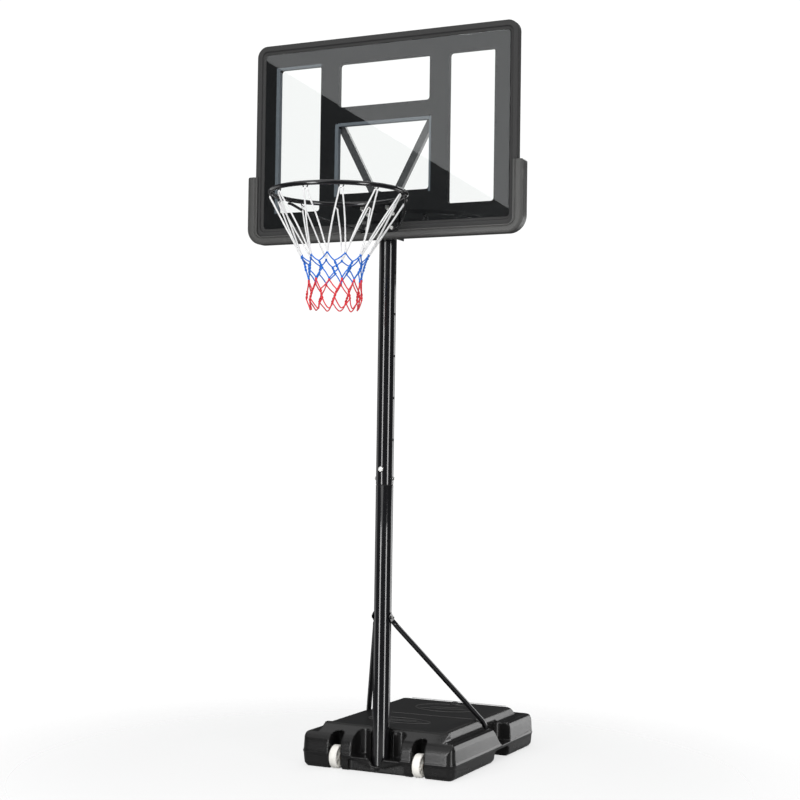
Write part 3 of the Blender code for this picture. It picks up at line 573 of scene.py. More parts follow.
def revolve(profile: Sequence[Flat], segments: int) -> bmesh.types.BMesh:
    """Turn (radius, height) points round Z.

    Args:
        profile: The points; one that starts at radius 0 makes a solid, any other a ring.
        segments: How many steps go round.

    Returns:
        The mesh, closed.
    """
    bm = bmesh.new()
    rows = []
    for radius, height in profile:
        steps = range(segments if radius else 1)
        angles = [math.tau * step / segments for step in steps]
        rows.append([bm.verts.new((radius * math.cos(a), radius * math.sin(a), height)) for a in angles])
    pairs = list(zip(rows, rows[1:]))
    if profile[0][0]:
        pairs.append((rows[-1], rows[0]))
    for low, high in pairs:
        for step in range(segments):
            after = (step + 1) % segments
            ring = [low[step % len(low)], low[after % len(low)]]
            ring += [high[after % len(high)], high[step % len(high)]]
            bm.faces.new(list(dict.fromkeys(ring)))
    return bm


def smooth_route(points: Sequence[Sequence[float]], steps: int) -> list[Vector]:
    """Run a smooth curve through points.

    Args:
        points: Where it passes.
        steps: How many pieces each stretch is cut into.

    Returns:
        Points on the curve, ends included.
    """
    knots = [Vector(point) for point in points]
    knots = [knots[0] * 2 - knots[1], *knots, knots[-1] * 2 - knots[-2]]
    route = []
    for a, b, c, d in zip(knots, knots[1:], knots[2:], knots[3:]):
        for step in range(steps):
            t = step / steps
            turn = (b * 2) + (c - a) * t + (a * 2 - b * 5 + c * 4 - d) * t**2 + (b * 3 - a - c * 3 + d) * t**3
            route.append(turn / 2)
    return [*route, knots[-2]]


def bar(
    bm: bmesh.types.BMesh,
    route: Sequence[Vector],
    radius: float,
    sides: int = 12,
    across: Vector = Vector((1.0, 0.0, 0.0)),
    shape: Callable[[float], Flat] = lambda share: (1.0, 1.0),
) -> None:
    """Sweep a round or flattened bar along a route into a mesh.

    Args:
        bm: Where the bar is added.
        route: Its centre line.
        radius: Its radius.
        sides: How many faces go round.
        across: The direction that shape's first number scales.
        shape: Scales across and square to it, from the share of the way along.
    """
    rows = []
    last = len(route) - 1
    for index, point in enumerate(route):
        along = (route[min(index + 1, last)] - route[max(index - 1, 0)]).normalized()
        side = (across - along * across.dot(along)).normalized()
        other = along.cross(side)
        flat, wide = shape(index / last)
        angles = [math.tau * (step + 0.5) / sides for step in range(sides)]
        rows.append(
            [
                bm.verts.new(point + (side * (math.cos(a) * flat) + other * (math.sin(a) * wide)) * radius)
                for a in angles
            ]
        )
    for low, high in zip(rows, rows[1:]):
        skin(bm, low, high)
    bm.faces.new(list(reversed(rows[0])))
    bm.faces.new(rows[-1])


def loft(rows: Sequence[Sequence[Sequence[float]]]) -> bmesh.types.BMesh:
    """Skin a closed body through rings of points.

    Args:
        rows: The rings; all have the same count of points.

    Returns:
        The closed mesh.
    """
    bm = bmesh.new()
    rings = [[bm.verts.new(point) for point in row] for row in rows]
    for low, high in zip(rings, rings[1:]):
        skin(bm, low, high)
    bm.faces.new(rings[0])
    bm.faces.new(rings[-1])
    return bm


def extrude(
    outline: Sequence[Flat], low: float, high: float, plane: Plane = Plane.FLOOR
) -> bmesh.types.BMesh:
    """Give an outline a depth.

    Args:
        outline: The closed outline.
        low: Where the depth starts.
        high: Where it ends.
        plane: The plane that the outline is drawn in.

    Returns:
        The closed prism.
    """
    bm = bmesh.new()
    ends = []
    for depth in (low, high):
        row = []
        for pair in outline:
            point = [0.0, 0.0, 0.0]
            for axis, value in zip(plane.value, (*pair, depth)):
                point[axis] = value
            row.append(bm.verts.new(point))
        ends.append(row)
        bm.faces.new(row)
    skin(bm, *ends)
    return bm


def round_box(
    left: float, right: float, low: float, high: float, radius: float, steps: int = 12
) -> list[Flat]:
    """A rectangle with round corners, anticlockwise from its right side."""
    points = []
    for x, y, quarter in ((right, high, 0), (left, high, 1), (left, low, 2), (right, low, 3)):
        middle_x = x - math.copysign(radius, x - (left + right) / 2)
        middle_y = y - math.copysign(radius, y - (low + high) / 2)
        for step in range(steps + 1):
            angle = math.pi / 2 * (quarter + step / steps)
            points.append((middle_x + radius * math.cos(angle), middle_y + radius * math.sin(angle)))
    return points


def moulding(
    outline_at: Callable[[float], Sequence[Flat]], section: Sequence[Flat], closed: bool
) -> bmesh.types.BMesh:
    """Sweep a section along a line that stands in XZ.

    Args:
        outline_at: Gives the line for an inset.
        section: The closed section, as (inset, y) points.
        closed: Whether the line's ends meet.

    Returns:
        The closed mesh.
    """
    bm = bmesh.new()
    rows = [[bm.verts.new((x, y, z)) for x, z in outline_at(inset)] for inset, y in section]
    count = len(rows[0])
    for step in range(count if closed else count - 1):
        after = (step + 1) % count
        for low, high in zip(rows, rows[1:] + rows[:1]):
            bm.faces.new([low[step], low[after], high[after], high[step]])
    if not closed:
        bm.faces.new([row[0] for row in rows])
        bm.faces.new([row[-1] for row in rows])
    return bm


def softened(corners: Sequence[Flat], radius: float, steps: int = 4) -> list[Flat]:
    """Round every corner of a closed outline.

    Args:
        corners: The sharp outline.
        radius: How far from each corner the rounding starts; a short side takes less.
        steps: How many pieces each corner is cut into.

    Returns:
        The round outline.
    """
    points = []
    count = len(corners)
    for index, corner in enumerate(corners):
        middle = Vector(corner)
        before = Vector(corners[index - 1]) - middle
        after = Vector(corners[(index + 1) % count]) - middle
        reach = min(radius, before.length * 0.45, after.length * 0.45)
        start = middle + before.normalized() * reach
        end = middle + after.normalized() * reach
        for step in range(steps + 1):
            t = step / steps
            points.append(tuple(start * (1 - t) ** 2 + middle * (2 * t * (1 - t)) + end * t**2))
    return points


def mesh_object(name: str, bm: bmesh.types.BMesh) -> bpy.types.Object:
    """Turn a bmesh into an object in the scene; piece() shades it."""
    bmesh.ops.recalc_face_normals(bm, faces=bm.faces)
    mesh = bpy.data.meshes.new(name)
    bm.to_mesh(mesh)
    bm.free()
    obj = bpy.data.objects.new(name, mesh)
    bpy.context.scene.collection.objects.link(obj)
    return obj


def settle(obj: bpy.types.Object) -> None:
    """Apply an object's modifiers to its mesh."""
    graph = bpy.context.evaluated_depsgraph_get()
    mesh = bpy.data.meshes.new_from_object(obj.evaluated_get(graph))
    obj.modifiers.clear()
    obj.data = mesh


def carve(obj: bpy.types.Object, tools: Sequence[bmesh.types.BMesh], operation: str = "DIFFERENCE") -> None:
    """Cut solids out of an object, or join them to it.

    Args:
        obj: The object that is changed.
        tools: The solids.
        operation: The Boolean's operation.
    """
    helpers = []
    for number, bm in enumerate(tools):
        helper = mesh_object(f"{obj.name}_tool_{number}", bm)
        modifier = obj.modifiers.new(helper.name, "BOOLEAN")
        modifier.operation = operation
        modifier.solver = "EXACT"
        modifier.object = helper
        helpers.append(helper)
    settle(obj)
    for helper in helpers:
        bpy.data.objects.remove(helper)


def piece(
    obj: bpy.types.Object,
    finish: Finish,
    body: Body,
    stands_for: Sequence[str] = (),
    sharp: float = 32.0,
) -> bpy.types.Object:
    """Dress an object and put it on its body.

    Args:
        obj: The object, in place.
        finish: Its finish.
        body: The CAD body that it moves with.
        stands_for: CAD nodes that it is shown for.
        sharp: Edges that turn by more than this, in degrees, stay sharp.

    Returns:
        The object.
    """
    obj.data.shade_smooth()
    obj.data.set_sharp_from_angle(angle=math.radians(sharp))
    obj.data.materials.clear()
    obj.data.materials.append(finish.material())
    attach(obj, body.value)
    if stands_for:
        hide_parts(*stands_for)
    LOG.info("%s: %d faces on %s", obj.name, len(obj.data.polygons), body.value)
    return obj


def dress(node: str, finish: Finish, bevel: float = 0.0) -> None:
    """Give a CAD node its finish and, if asked, broken edges."""
    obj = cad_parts[node]
    obj.data.materials.clear()
    obj.data.materials.append(finish.material())
    if bevel:
        weld = obj.modifiers.new("weld", "WELD")
        weld.merge_threshold = 0.00002
        soft = obj.modifiers.new("broken_edges", "BEVEL")
        soft.width = bevel
        soft.segments = 2
        soft.limit_method = "ANGLE"
        soft.angle_limit = math.radians(34)
    LOG.info("%s: CAD node dressed in %s", node, finish.name)


# ---------------------------------------------------------------------------------------------- pieces


@dataclass
class BallastTank:
    """The blow-moulded tank: deck, ridged walls, wheel wells, pole recess, strut bays and moulded marks."""

    half_x: float = 0.306
    front_y: float = -0.046
    rear_y: float = 0.757
    corner: float = 0.030
    deck_z: float = 0.155
    lip_z: float = 0.053
    foot_z: float = 0.0185
    recess_half_x: float = 0.098
    wheel_x: float = 0.1665
    well_half: float = 0.0240
    well_top: float = 0.0225
    well_y: float = -0.028
    well_z: float = 0.075
    well_r: float = 0.066
    bay_x: float = 0.243
    cap_x: float = 0.015
    cap_y: float = 0.630
    cap_bore_r: float = 0.0175
    voxel: float = 0.0026
    beyond: float = 0.36

    def contour(self, inset: float, steps: int = 14) -> list[Flat]:
        """The plan outline, moved in by an inset."""
        radius = max(self.corner - inset, 0.012)
        return round_box(
            inset - self.half_x, self.half_x - inset, self.front_y + inset, self.rear_y - inset, radius, steps
        )

    def shell(self) -> bmesh.types.BMesh:
        """The closed outer form, before anything is cut."""
        belly = [(0.016, 0.0), (0.005, 0.012), (0.001, 0.050)]
        seam = [(-0.0016, 0.0530), (-0.0016, 0.0565)]
        wall = [(0.001, 0.0595), (0.004, 0.108)]
        ridge = [(0.009, 0.121), (0.018, 0.127), (0.030, 0.1255), (0.044, 0.121)]
        slope = [(0.056, 0.129), (0.070, 0.150), (0.078, self.deck_z)]
        levels = belly + seam + wall + ridge + slope
        return loft([[(x, y, height) for x, y in self.contour(inset)] for inset, height in levels])

    def recess(self) -> list[Flat]:
        """The plan outline of the fluted recess round the pole's foot."""
        outline = [(-self.recess_half_x, -0.12), (self.recess_half_x, -0.12)]
        for x, radius, reach in ((0.072, 0.026, 80), (0.0, 0.0465, 62), (-0.072, 0.026, 80)):
            for step in range(15):
                angle = math.radians(90 - reach + 2 * reach * step / 14)
                outline.append((x + radius * math.cos(angle), radius * math.sin(angle)))
        return outline

    def well(self, middle: float) -> bmesh.types.BMesh:
        """The hollow of a wheel well: an arch whose top curves down to the rear."""
        stations = [(-0.12, self.well_z + self.well_r)]
        for step in range(13):
            angle = math.radians(84) * step / 12
            stations.append(
                (self.well_y + self.well_r * math.sin(angle), self.well_z + self.well_r * math.cos(angle))
            )
        rows = []
        for y, top in stations:
            row = [(middle + self.well_half, y, -0.01)]
            for way, quarter in ((1, 0), (-1, 1)):
                for step in range(7):
                    angle = math.pi / 2 * (quarter + step / 6)
                    x = middle + way * (self.well_half - self.well_top) + self.well_top * math.cos(angle)
                    row.append((x, y, top - self.well_top + self.well_top * math.sin(angle)))
            rows.append([*row, (middle - self.well_half, y, -0.01)])
        return loft(rows)

    def bay(self, side: Side) -> bmesh.types.BMesh:
        """The hollow of a strut bay, raked at its front."""
        levels = [(0.057, 0.420, 0.500), (0.066, 0.404, 0.502), (0.085, 0.384, 0.503)]
        levels += [(0.108, 0.362, 0.504), (0.127, 0.348, 0.505), (0.200, 0.346, 0.506)]
        near, far = sorted((side.value * self.bay_x, side.value * self.beyond))
        return loft(
            [[(x, y, z) for x, y in round_box(near, far, front, rear, 0.026, 8)] for z, front, rear in levels]
        )

    def front_hollows(self) -> list[bmesh.types.BMesh]:
        """What is cut from the tank's front: the brow, the wells, the recess, its pocket, notch and chin."""
        top = self.lip_z + 0.01
        brow = [(-0.0455, 0.075), (-0.0435, 0.092), (-0.0385, 0.1055), (-0.0300, 0.1165)]
        brow += [(-0.0180, 0.1255), (0.0, 0.1335), (0.0360, 0.1505)]
        outside = [(-0.12, 0.075), *brow, (0.0360, 0.2), (-0.12, 0.2)]
        notch = [(-0.036, top), (-0.0135, 0.026), (0.0135, 0.026), (0.036, top)]
        chin = [(0.0, 0.015), (0.094, 0.044), (0.112, 0.041), (0.112, -0.01)]
        chin = [(-x, z) for x, z in reversed(chin[1:])] + chin
        floor = self.foot_z - GAP
        return [
            extrude(outside, -self.beyond, self.beyond, Plane.SIDE),
            self.well(-self.wheel_x),
            self.well(self.wheel_x),
            extrude(self.recess(), self.lip_z, 0.2),
            revolve([(0.0, floor), (0.0345, floor), (0.0345, top), (0.0, top)], 48),
            extrude(notch, -0.12, -0.01, Plane.BOARD),
            extrude(chin, -0.12, -0.024, Plane.BOARD),
        ]

    def side_hollows(self) -> list[bmesh.types.BMesh]:
        """What is cut from its sides and deck: bays, passages, strut slots and the filling hole."""
        found = []
        tunnel = [(0.345, -0.01), (0.352, 0.034), (0.366, 0.043)]
        tunnel += [(0.478, 0.043), (0.492, 0.034), (0.499, -0.01)]
        for side in Side:
            way = side.value
            near, far = sorted((way * 0.225, way * self.beyond))
            slot = bmesh.new()
            stations = ((0.2061, 0.3182, 0.212), (0.2400, 0.3790, 0.146), (0.2450, 0.4120, 0.104))
            bar(slot, [Vector((way * x, y, z)) for x, y, z in stations], 0.0155, 24)
            found += [self.bay(side), extrude(tunnel, near, far, Plane.SIDE), slot]
        bore = revolve([(0.0, -0.03), (self.cap_bore_r, -0.03), (self.cap_bore_r, 0.03), (0.0, 0.03)], 40)
        bmesh.ops.translate(bore, vec=(self.cap_x, self.cap_y, self.deck_z), verts=bore.verts)
        return [*found, bore]

    def body(self) -> bpy.types.Object:
        """The tank itself, with every edge drawn soft as blow-moulding leaves it."""
        obj = mesh_object("tank_shell", self.shell())
        fill = [(-0.038, 0.090), (0.060, 0.090), (0.060, 0.1535), (-0.038, 0.1535)]
        carve(obj, [extrude(fill, -0.250, 0.250, Plane.SIDE)], "UNION")
        for tool in self.front_hollows() + self.side_hollows():
            carve(obj, [tool])
        melt = obj.modifiers.new("melt", "REMESH")
        melt.mode = "VOXEL"
        melt.voxel_size = self.voxel
        calm = obj.modifiers.new("calm", "SMOOTH")
        calm.factor = 0.5
        calm.iterations = 5
        thin = obj.modifiers.new("thin", "DECIMATE")
        thin.ratio = 0.5
        settle(obj)
        return piece(obj, TANK, Body.STAND, ["base_tank"], 60.0)

    def marks(self) -> None:
        """Raised plain ovals and ribs on the deck, coloured lighter than the tank as a painted highlight on
        their ridges.
        """
        bm = bmesh.new()
        level = self.deck_z + 0.0001
        upright = Vector((0.0, 0.0, 1.0))
        for x, y, half_x, half_y in ((-0.020, 0.195, 0.125, 0.050), (0.020, 0.530, 0.122, 0.084)):
            angles = [math.tau * step / 96 for step in range(97)]
            route = [Vector((x + half_x * math.cos(a), y + half_y * math.sin(a), level)) for a in angles]
            bar(bm, route, 0.0011, 8, upright)
            for share, drop in ((0.75, -0.25), (0.5, 0.15)):
                line = [
                    Vector((x + half_x * share * t, y + half_y * (drop + 0.2 * t), level))
                    for t in (-1, 0, 1)
                ]
                bar(bm, line, 0.0008, 6, upright)
        bar(bm, [Vector((-0.03, 0.085, level)), Vector((0.0, 0.15, level))], 0.0011, 6, upright)
        bar(bm, [Vector((-0.20, 0.335, level)), Vector((0.21, 0.352, level))], 0.0009, 6, upright)
        bar(bm, [Vector((-0.20, 0.692, level)), Vector((0.21, 0.692, level))], 0.0009, 6, upright)
        piece(mesh_object("deck_marks", bm), MARK_HIGHLIGHT, Body.STAND)

    def build(self) -> None:
        """Build the tank and its marks."""
        self.body()
        self.marks()


@dataclass
class FillerCap:
    """The ribbed plug in the filling hole."""

    x: float = 0.015
    y: float = 0.630
    deck_z: float = 0.155
    grip: float = 0.0225
    plug: float = 0.0172

    def build(self) -> None:
        """Turn the cap and set finger ribs round it."""
        top, flange = 0.0085, 0.0032
        profile = [(0.0, top - 0.0006), (self.grip * 0.42, top - 0.0004), (self.grip * 0.50, top)]
        profile += [(self.grip * 0.56, top - 0.0008), (self.grip * 0.62, flange + 0.0012)]
        profile += [(self.grip * 0.92, flange), (self.grip, flange * 0.6), (self.grip, GAP)]
        profile += [(self.plug, GAP), (self.plug, -0.0197), (0.0, -0.0197)]
        bm = revolve(profile, 64)
        for step in range(16):
            angle = math.tau * step / 16
            out = outward(angle)
            foot = out * (self.grip * 0.60) + Vector((0.0, 0.0, flange))
            bar(bm, [foot, foot + Vector((0.0, 0.0, 0.0042))], 0.0009, 6, out)
        bmesh.ops.translate(bm, vec=(self.x, self.y, self.deck_z), verts=bm.verts)
        piece(mesh_object("cap_plug", bm), CAP_PLASTIC, Body.CAP, ["filler_cap"])


@dataclass
class Wheel:
    """A ribbed plastic wheel with a worn hub."""

    side: Side
    radius: float = 0.0425
    half: float = 0.0150
    bore: float = 0.0054
    hub: float = 0.0125
    web: float = 0.0045
    rim: float = 0.0325
    rib: float = 0.0014

    def build(self) -> None:
        """Turn the wheel round its axle and add ribs and hub rings."""
        low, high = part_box(f"wheel_{self.side.word}")
        middle = (low + high) / 2
        rim = self.rim
        face = [(self.bore, self.half - 0.001), (self.bore + 0.0008, self.half)]
        face += [(self.hub - 0.001, self.half)]
        face += [(self.hub, self.half - 0.001), (self.hub + 0.0015, self.web), (rim - 0.001, self.web)]
        face += [(rim + 0.0006, self.half - 0.003), (rim + 0.0016, self.half - 0.0012)]
        face += [(self.radius - 0.0045, self.half - 0.0004), (self.radius - 0.0018, self.half - 0.0020)]
        face += [(self.radius - 0.0005, self.half - 0.0042), (self.radius, self.half - 0.0075)]
        tread = [(self.radius, 0.0012), (self.radius - 0.0007, 0.0006)]
        whole = face + tread
        bm = revolve(whole + [(radius, -height) for radius, height in reversed(whole)], 72)
        for step in range(6):
            angle = math.tau * step / 6
            out = outward(angle)
            route = [out * (self.hub - 0.001), out * (rim + 0.001)]
            reach = (self.half - 0.0035) / self.rib
            bar(bm, route, self.rib, 8, Vector((0.0, 0.0, 1.0)), lambda share, tall=reach: (tall, 1.0))
        turn = Matrix.Translation(middle) @ Matrix.Rotation(math.pi / 2, 4, "Y")
        bmesh.ops.transform(bm, matrix=turn, verts=bm.verts)
        body = Body.LEFT_WHEEL if self.side is Side.LEFT else Body.RIGHT_WHEEL
        piece(mesh_object(f"wheel_tyre_{self.side.word}", bm), WHEEL, body, [f"wheel_{self.side.word}"])
        ring = [(self.bore + 0.0006, self.half - 0.0002), (self.bore + 0.0010, self.half + 0.0008)]
        ring += [(self.hub - 0.0026, self.half + 0.0008), (self.hub - 0.0020, self.half - 0.0002)]
        bm = revolve(ring, 48)
        mirror = revolve([(radius, -height) for radius, height in ring], 48)
        spare = bpy.data.meshes.new("spare")
        mirror.to_mesh(spare)
        mirror.free()
        bm.from_mesh(spare)
        bpy.data.meshes.remove(spare)
        bmesh.ops.transform(bm, matrix=turn, verts=bm.verts)
        piece(mesh_object(f"wheel_hub_{self.side.word}", bm), HUB, body)


@dataclass
class Pole:
    """Two enamelled tubes, one necked into the other, with a cap and the height holes."""

    radius: float = 0.03175
    wall: float = 0.002
    foot_z: float = 0.0185
    seam_z: float = 1.036
    top_z: float = 2.088
    neck: float = 0.1
    hole_low_z: float = 1.2
    pitch: float = 0.1524
    holes: int = 6
    hole_r: float = 0.0046
    bolt_r: float = 0.0043
    strut_bolt_z: float = 0.558
    front_bolt_z: float = 1.094
    cross_bolt_z: float = 1.060

    def crossing(self, height: float, radius: float, turn: str) -> bmesh.types.BMesh:
        """A round drill through the pole at a height, along X or Y."""
        bm = revolve([(0.0, -0.05), (radius, -0.05), (radius, 0.05), (0.0, 0.05)], 20)
        spin = Matrix.Rotation(math.pi / 2, 4, "Y" if turn == "X" else "X")
        bmesh.ops.transform(bm, matrix=Matrix.Translation((0.0, 0.0, height)) @ spin, verts=bm.verts)
        return bm

    def build(self) -> None:
        """Turn both tubes and the cap, and drill them."""
        inner = self.radius - self.wall
        neck = inner - GAP
        profile = [(inner, self.foot_z), (self.radius - 0.0005, self.foot_z)]
        profile += [(self.radius, self.foot_z + 0.0005)]
        profile += [(self.radius, self.seam_z - 0.0012), (self.radius - 0.0006, self.seam_z - 0.0002)]
        profile += [(neck, self.seam_z + 0.0012), (neck, self.seam_z + self.neck)]
        profile += [(neck - self.wall, self.seam_z + self.neck)]
        profile += [(neck - self.wall, self.seam_z - 0.004), (inner, self.seam_z - 0.012)]
        lower = mesh_object("pole_lower_tube", revolve(profile, 96))
        carve(lower, [self.crossing(self.strut_bolt_z, self.bolt_r, "X")])
        piece(lower, POLE_PAINT, Body.STAND, ["lower_pole"])
        start = self.seam_z + 0.0018
        profile = [(inner, start), (self.radius - 0.0006, start), (self.radius, start + 0.0008)]
        profile += [(self.radius, self.top_z), (inner, self.top_z)]
        upper = mesh_object("pole_upper_tube", revolve(profile, 96))
        heights = [self.hole_low_z + self.pitch * step for step in range(self.holes)]
        drills = [self.crossing(height, self.hole_r, "X") for height in heights]
        drills += [self.crossing(self.front_bolt_z, self.bolt_r, "Y")]
        drills += [self.crossing(self.cross_bolt_z, self.bolt_r, "X")]
        for drill in drills:
            carve(upper, [drill])
        piece(upper, POLE_PAINT, Body.STAND, ["upper_pole"])
        crown = self.radius + 0.0012
        profile = [(0.0, 0.0086), (crown * 0.4, 0.0083), (crown * 0.7, 0.0068), (crown * 0.9, 0.0046)]
        profile += [(crown * 0.98, 0.0028), (crown, 0.0014), (crown, GAP), (inner - GAP, GAP)]
        profile += [(inner - GAP, -0.018), (0.0, -0.018)]
        bm = revolve(profile, 72)
        bmesh.ops.translate(bm, vec=(0.0, 0.0, self.top_z), verts=bm.verts)
        piece(mesh_object("pole_crown", bm), CAP_PLASTIC, Body.STAND, ["pole_top_cap"])
        for name in ("seam_bolt_front", "seam_nut_rear", "seam_bolt_cross", "seam_nut_cross"):
            dress(name, ZINC, 0.0004)


@dataclass
class Struts:
    """Two side struts: round tube, pressed flat and bolted at both ends."""

    radius: float = 0.0095
    tab_half: float = 0.0018
    top_z: float = 0.558
    foot_y: float = 0.424
    foot_z: float = 0.095
    bay_x: float = 0.243

    def press(self, share: float) -> Flat:
        """How far the tube is pressed flat at a share of the way along."""
        away = min(share / 0.075, (1.0 - share) / 0.085, 1.0)
        flat = self.tab_half / self.radius
        ease = max(0.0, (away - 0.62) / 0.38)
        ease = ease * ease * (3 - 2 * ease)
        return flat + (1 - flat) * ease, 1.35 - 0.35 * ease

    def build(self) -> None:
        """Sweep both struts and dress their bolts."""
        top_x = 0.03175 + GAP + self.tab_half + 0.0008
        foot_x = self.bay_x + GAP + self.tab_half
        for side in Side:
            way = side.value
            stations = [
                (way * top_x, -0.010, self.top_z + 0.012),
                (way * top_x, 0.012, self.top_z - 0.014),
                (way * (top_x + 0.012), 0.036, self.top_z - 0.040),
                (way * (foot_x - 0.004), self.foot_y - 0.044, self.foot_z + 0.050),
                (way * foot_x, self.foot_y - 0.016, self.foot_z + 0.019),
                (way * foot_x, self.foot_y + 0.011, self.foot_z - 0.012),
            ]
            corners = [Vector(station) for station in stations]
            route = []
            for start, end in zip(corners, corners[1:]):
                count = max(3, round((end - start).length / 0.006))
                route += [start.lerp(end, step / count) for step in range(count)]
            route.append(corners[-1])
            eased = [
                route[0],
                *[(a + b * 2 + c) / 4 for a, b, c in zip(route, route[1:], route[2:])],
                route[-1],
            ]
            bm = bmesh.new()
            bar(bm, eased, self.radius, 28, Vector((1.0, 0.0, 0.0)), self.press)
            obj = mesh_object(f"strut_tube_{side.word}", bm)
            piece(obj, STRUT_PAINT, Body.STAND, [f"strut_{side.word}"], 50.0)
            dress(f"strut_foot_bolt_{side.word}", BLACK_ZINC, 0.0004)
            dress(f"wheel_axle_{side.word}", ZINC)
        dress("strut_top_bolt", BLACK_ZINC, 0.0004)
        dress("strut_top_nut", ZINC, 0.0004)


@dataclass
class Backboard:
    """Clear sheet on a windowed backing, in a rounded surround, with a grained bumper round its foot."""

    half_x: float = 0.527
    top_z: float = 2.674
    low_z: float = 1.952
    corner: float = 0.042
    bead: float = 0.022
    front_y: float = -0.068
    step_y: float = -0.0585
    back_y: float = -0.0362
    sheet_half_x: float = 0.4937
    bumper_half_x: float = 0.5545
    bumper_low_z: float = 1.925
    bumper_top_z: float = 2.180
    bumper_front_y: float = -0.0785
    bumper_corner: float = 0.062
    notch_half_x: float = 0.082
    notch_top_z: float = 1.990
    notch_low_z: float = 1.946
    notch_lean: float = 0.006
    lip: float = 0.014
    squeeze: float = 0.75

    def edge(self, inset: float) -> list[Flat]:
        """The surround's outline, moved in by an inset."""
        radius = max(self.corner - inset, 0.012)
        return round_box(
            inset - self.half_x, self.half_x - inset, self.low_z + inset, self.top_z - inset, radius, 20
        )

    def foot_line(self, inset: float) -> list[Flat]:
        """The bumper's open U, moved in by an inset."""
        side = self.bumper_half_x - inset
        low = self.bumper_low_z + inset * self.squeeze
        radius = max(self.bumper_corner - inset, 0.012)
        points = [(side, self.bumper_top_z), (side, low + radius + 0.01)]
        for middle, quarter in ((side - radius, 0), (radius - side, 1)):
            for step in range(21):
                angle = -math.pi / 2 * (quarter + step / 20)
                points.append((middle + radius * math.cos(angle), low + radius + radius * math.sin(angle)))
        return [*points, (-side, low + radius + 0.01), (-side, self.bumper_top_z)]

    def surround(self) -> None:
        """The moulded edge: a rounded bead and a groove round the sheet."""
        inner = self.half_x - self.sheet_half_x - GAP
        bead, front = self.bead, self.front_y
        corners = [(0.0, self.back_y), (0.0, front), (bead - 0.0015, front), (bead, self.step_y)]
        corners += [(inner, self.step_y), (inner, self.back_y)]
        section = softened(corners, 0.0055, 6)
        obj = mesh_object("surround_moulding", moulding(self.edge, section, True))
        piece(obj, SURROUND, Body.CARRIAGE, ["edge_surround"], 50.0)

    def bumper(self) -> None:
        """The bumper: round outer wall, grained face, a fine inner lip and slanted ends."""
        reach = self.bumper_half_x - self.half_x - GAP
        front, face_end = self.bumper_front_y, reach + self.lip
        behind = self.front_y - GAP
        crease = reach + 0.002
        corners = [(0.0, self.back_y), (0.0, front + 0.004), (0.012, front), (crease, front)]
        corners += [(crease + 0.0016, front + 0.0035), (crease + 0.0042, front + 0.0035)]
        corners += [(crease + 0.0058, front + 0.001)]
        corners += [(face_end, front + 0.001), (face_end, behind), (reach, behind), (reach, self.back_y)]
        section = softened(corners, 0.0035, 4)
        obj = mesh_object("bumper_moulding", moulding(self.foot_line, section, False))
        half = self.notch_half_x
        top, low, lean = self.notch_top_z, self.notch_low_z, self.notch_lean
        notch = softened([(-half, top), (-half + lean, low), (half - lean, low), (half, top)], 0.007, 5)
        tools = [extrude(notch, front - 0.02, self.front_y - GAP / 2, Plane.BOARD)]
        for side in Side:
            way = side.value
            end = [(way * (self.bumper_half_x - 0.014), self.bumper_top_z + 0.01)]
            end += [(way * (self.bumper_half_x + 0.01), self.bumper_top_z + 0.01)]
            end += [(way * (self.bumper_half_x + 0.01), self.bumper_top_z - 0.012)]
            end += [(way * self.bumper_half_x, self.bumper_top_z - 0.006)]
            tools.append(extrude(end, -0.09, -0.02, Plane.BOARD))
        for tool in tools:
            carve(obj, [tool])
        piece(obj, BUMPER, Body.CARRIAGE, ["bumper_pad"], 40.0)

    def build(self) -> None:
        """Build the edges and dress the sheet and the backing."""
        self.surround()
        self.bumper()
        dress("backboard_sheet", SHEET)
        backing = BevelLitBacking(
            "backing_bevel_lit",
            "backing_plastic",
            (0.003, 0.0033, 0.004),
            # the next colour is the painted light on the window bevels
            (0.120, 0.136, 0.155),
            (-0.435, -0.259, 2.042, 2.581),
            (-0.1835, 0.1835, 2.099, 2.350),
        )
        dress("backing_panel", backing)


@dataclass
class Carriage:
    """The channel that grips the pole, its bolts and the two arms behind the board."""

    def build(self) -> None:
        """Dress the steel and its fasteners."""
        dress("pole_bracket", POLE_PAINT, 0.0008)
        for side in Side:
            dress(f"support_arm_{side.word}", ARM_PAINT, 0.0012)
            dress(f"arm_screw_{side.word}", ZINC, 0.0003)
            dress(f"height_bolt_{side.word}", ZINC, 0.0004)
        for level in ("lower", "upper"):
            dress(f"clamp_bolt_{level}", ZINC, 0.0004)
            dress(f"clamp_nut_{level}", ZINC, 0.0004)


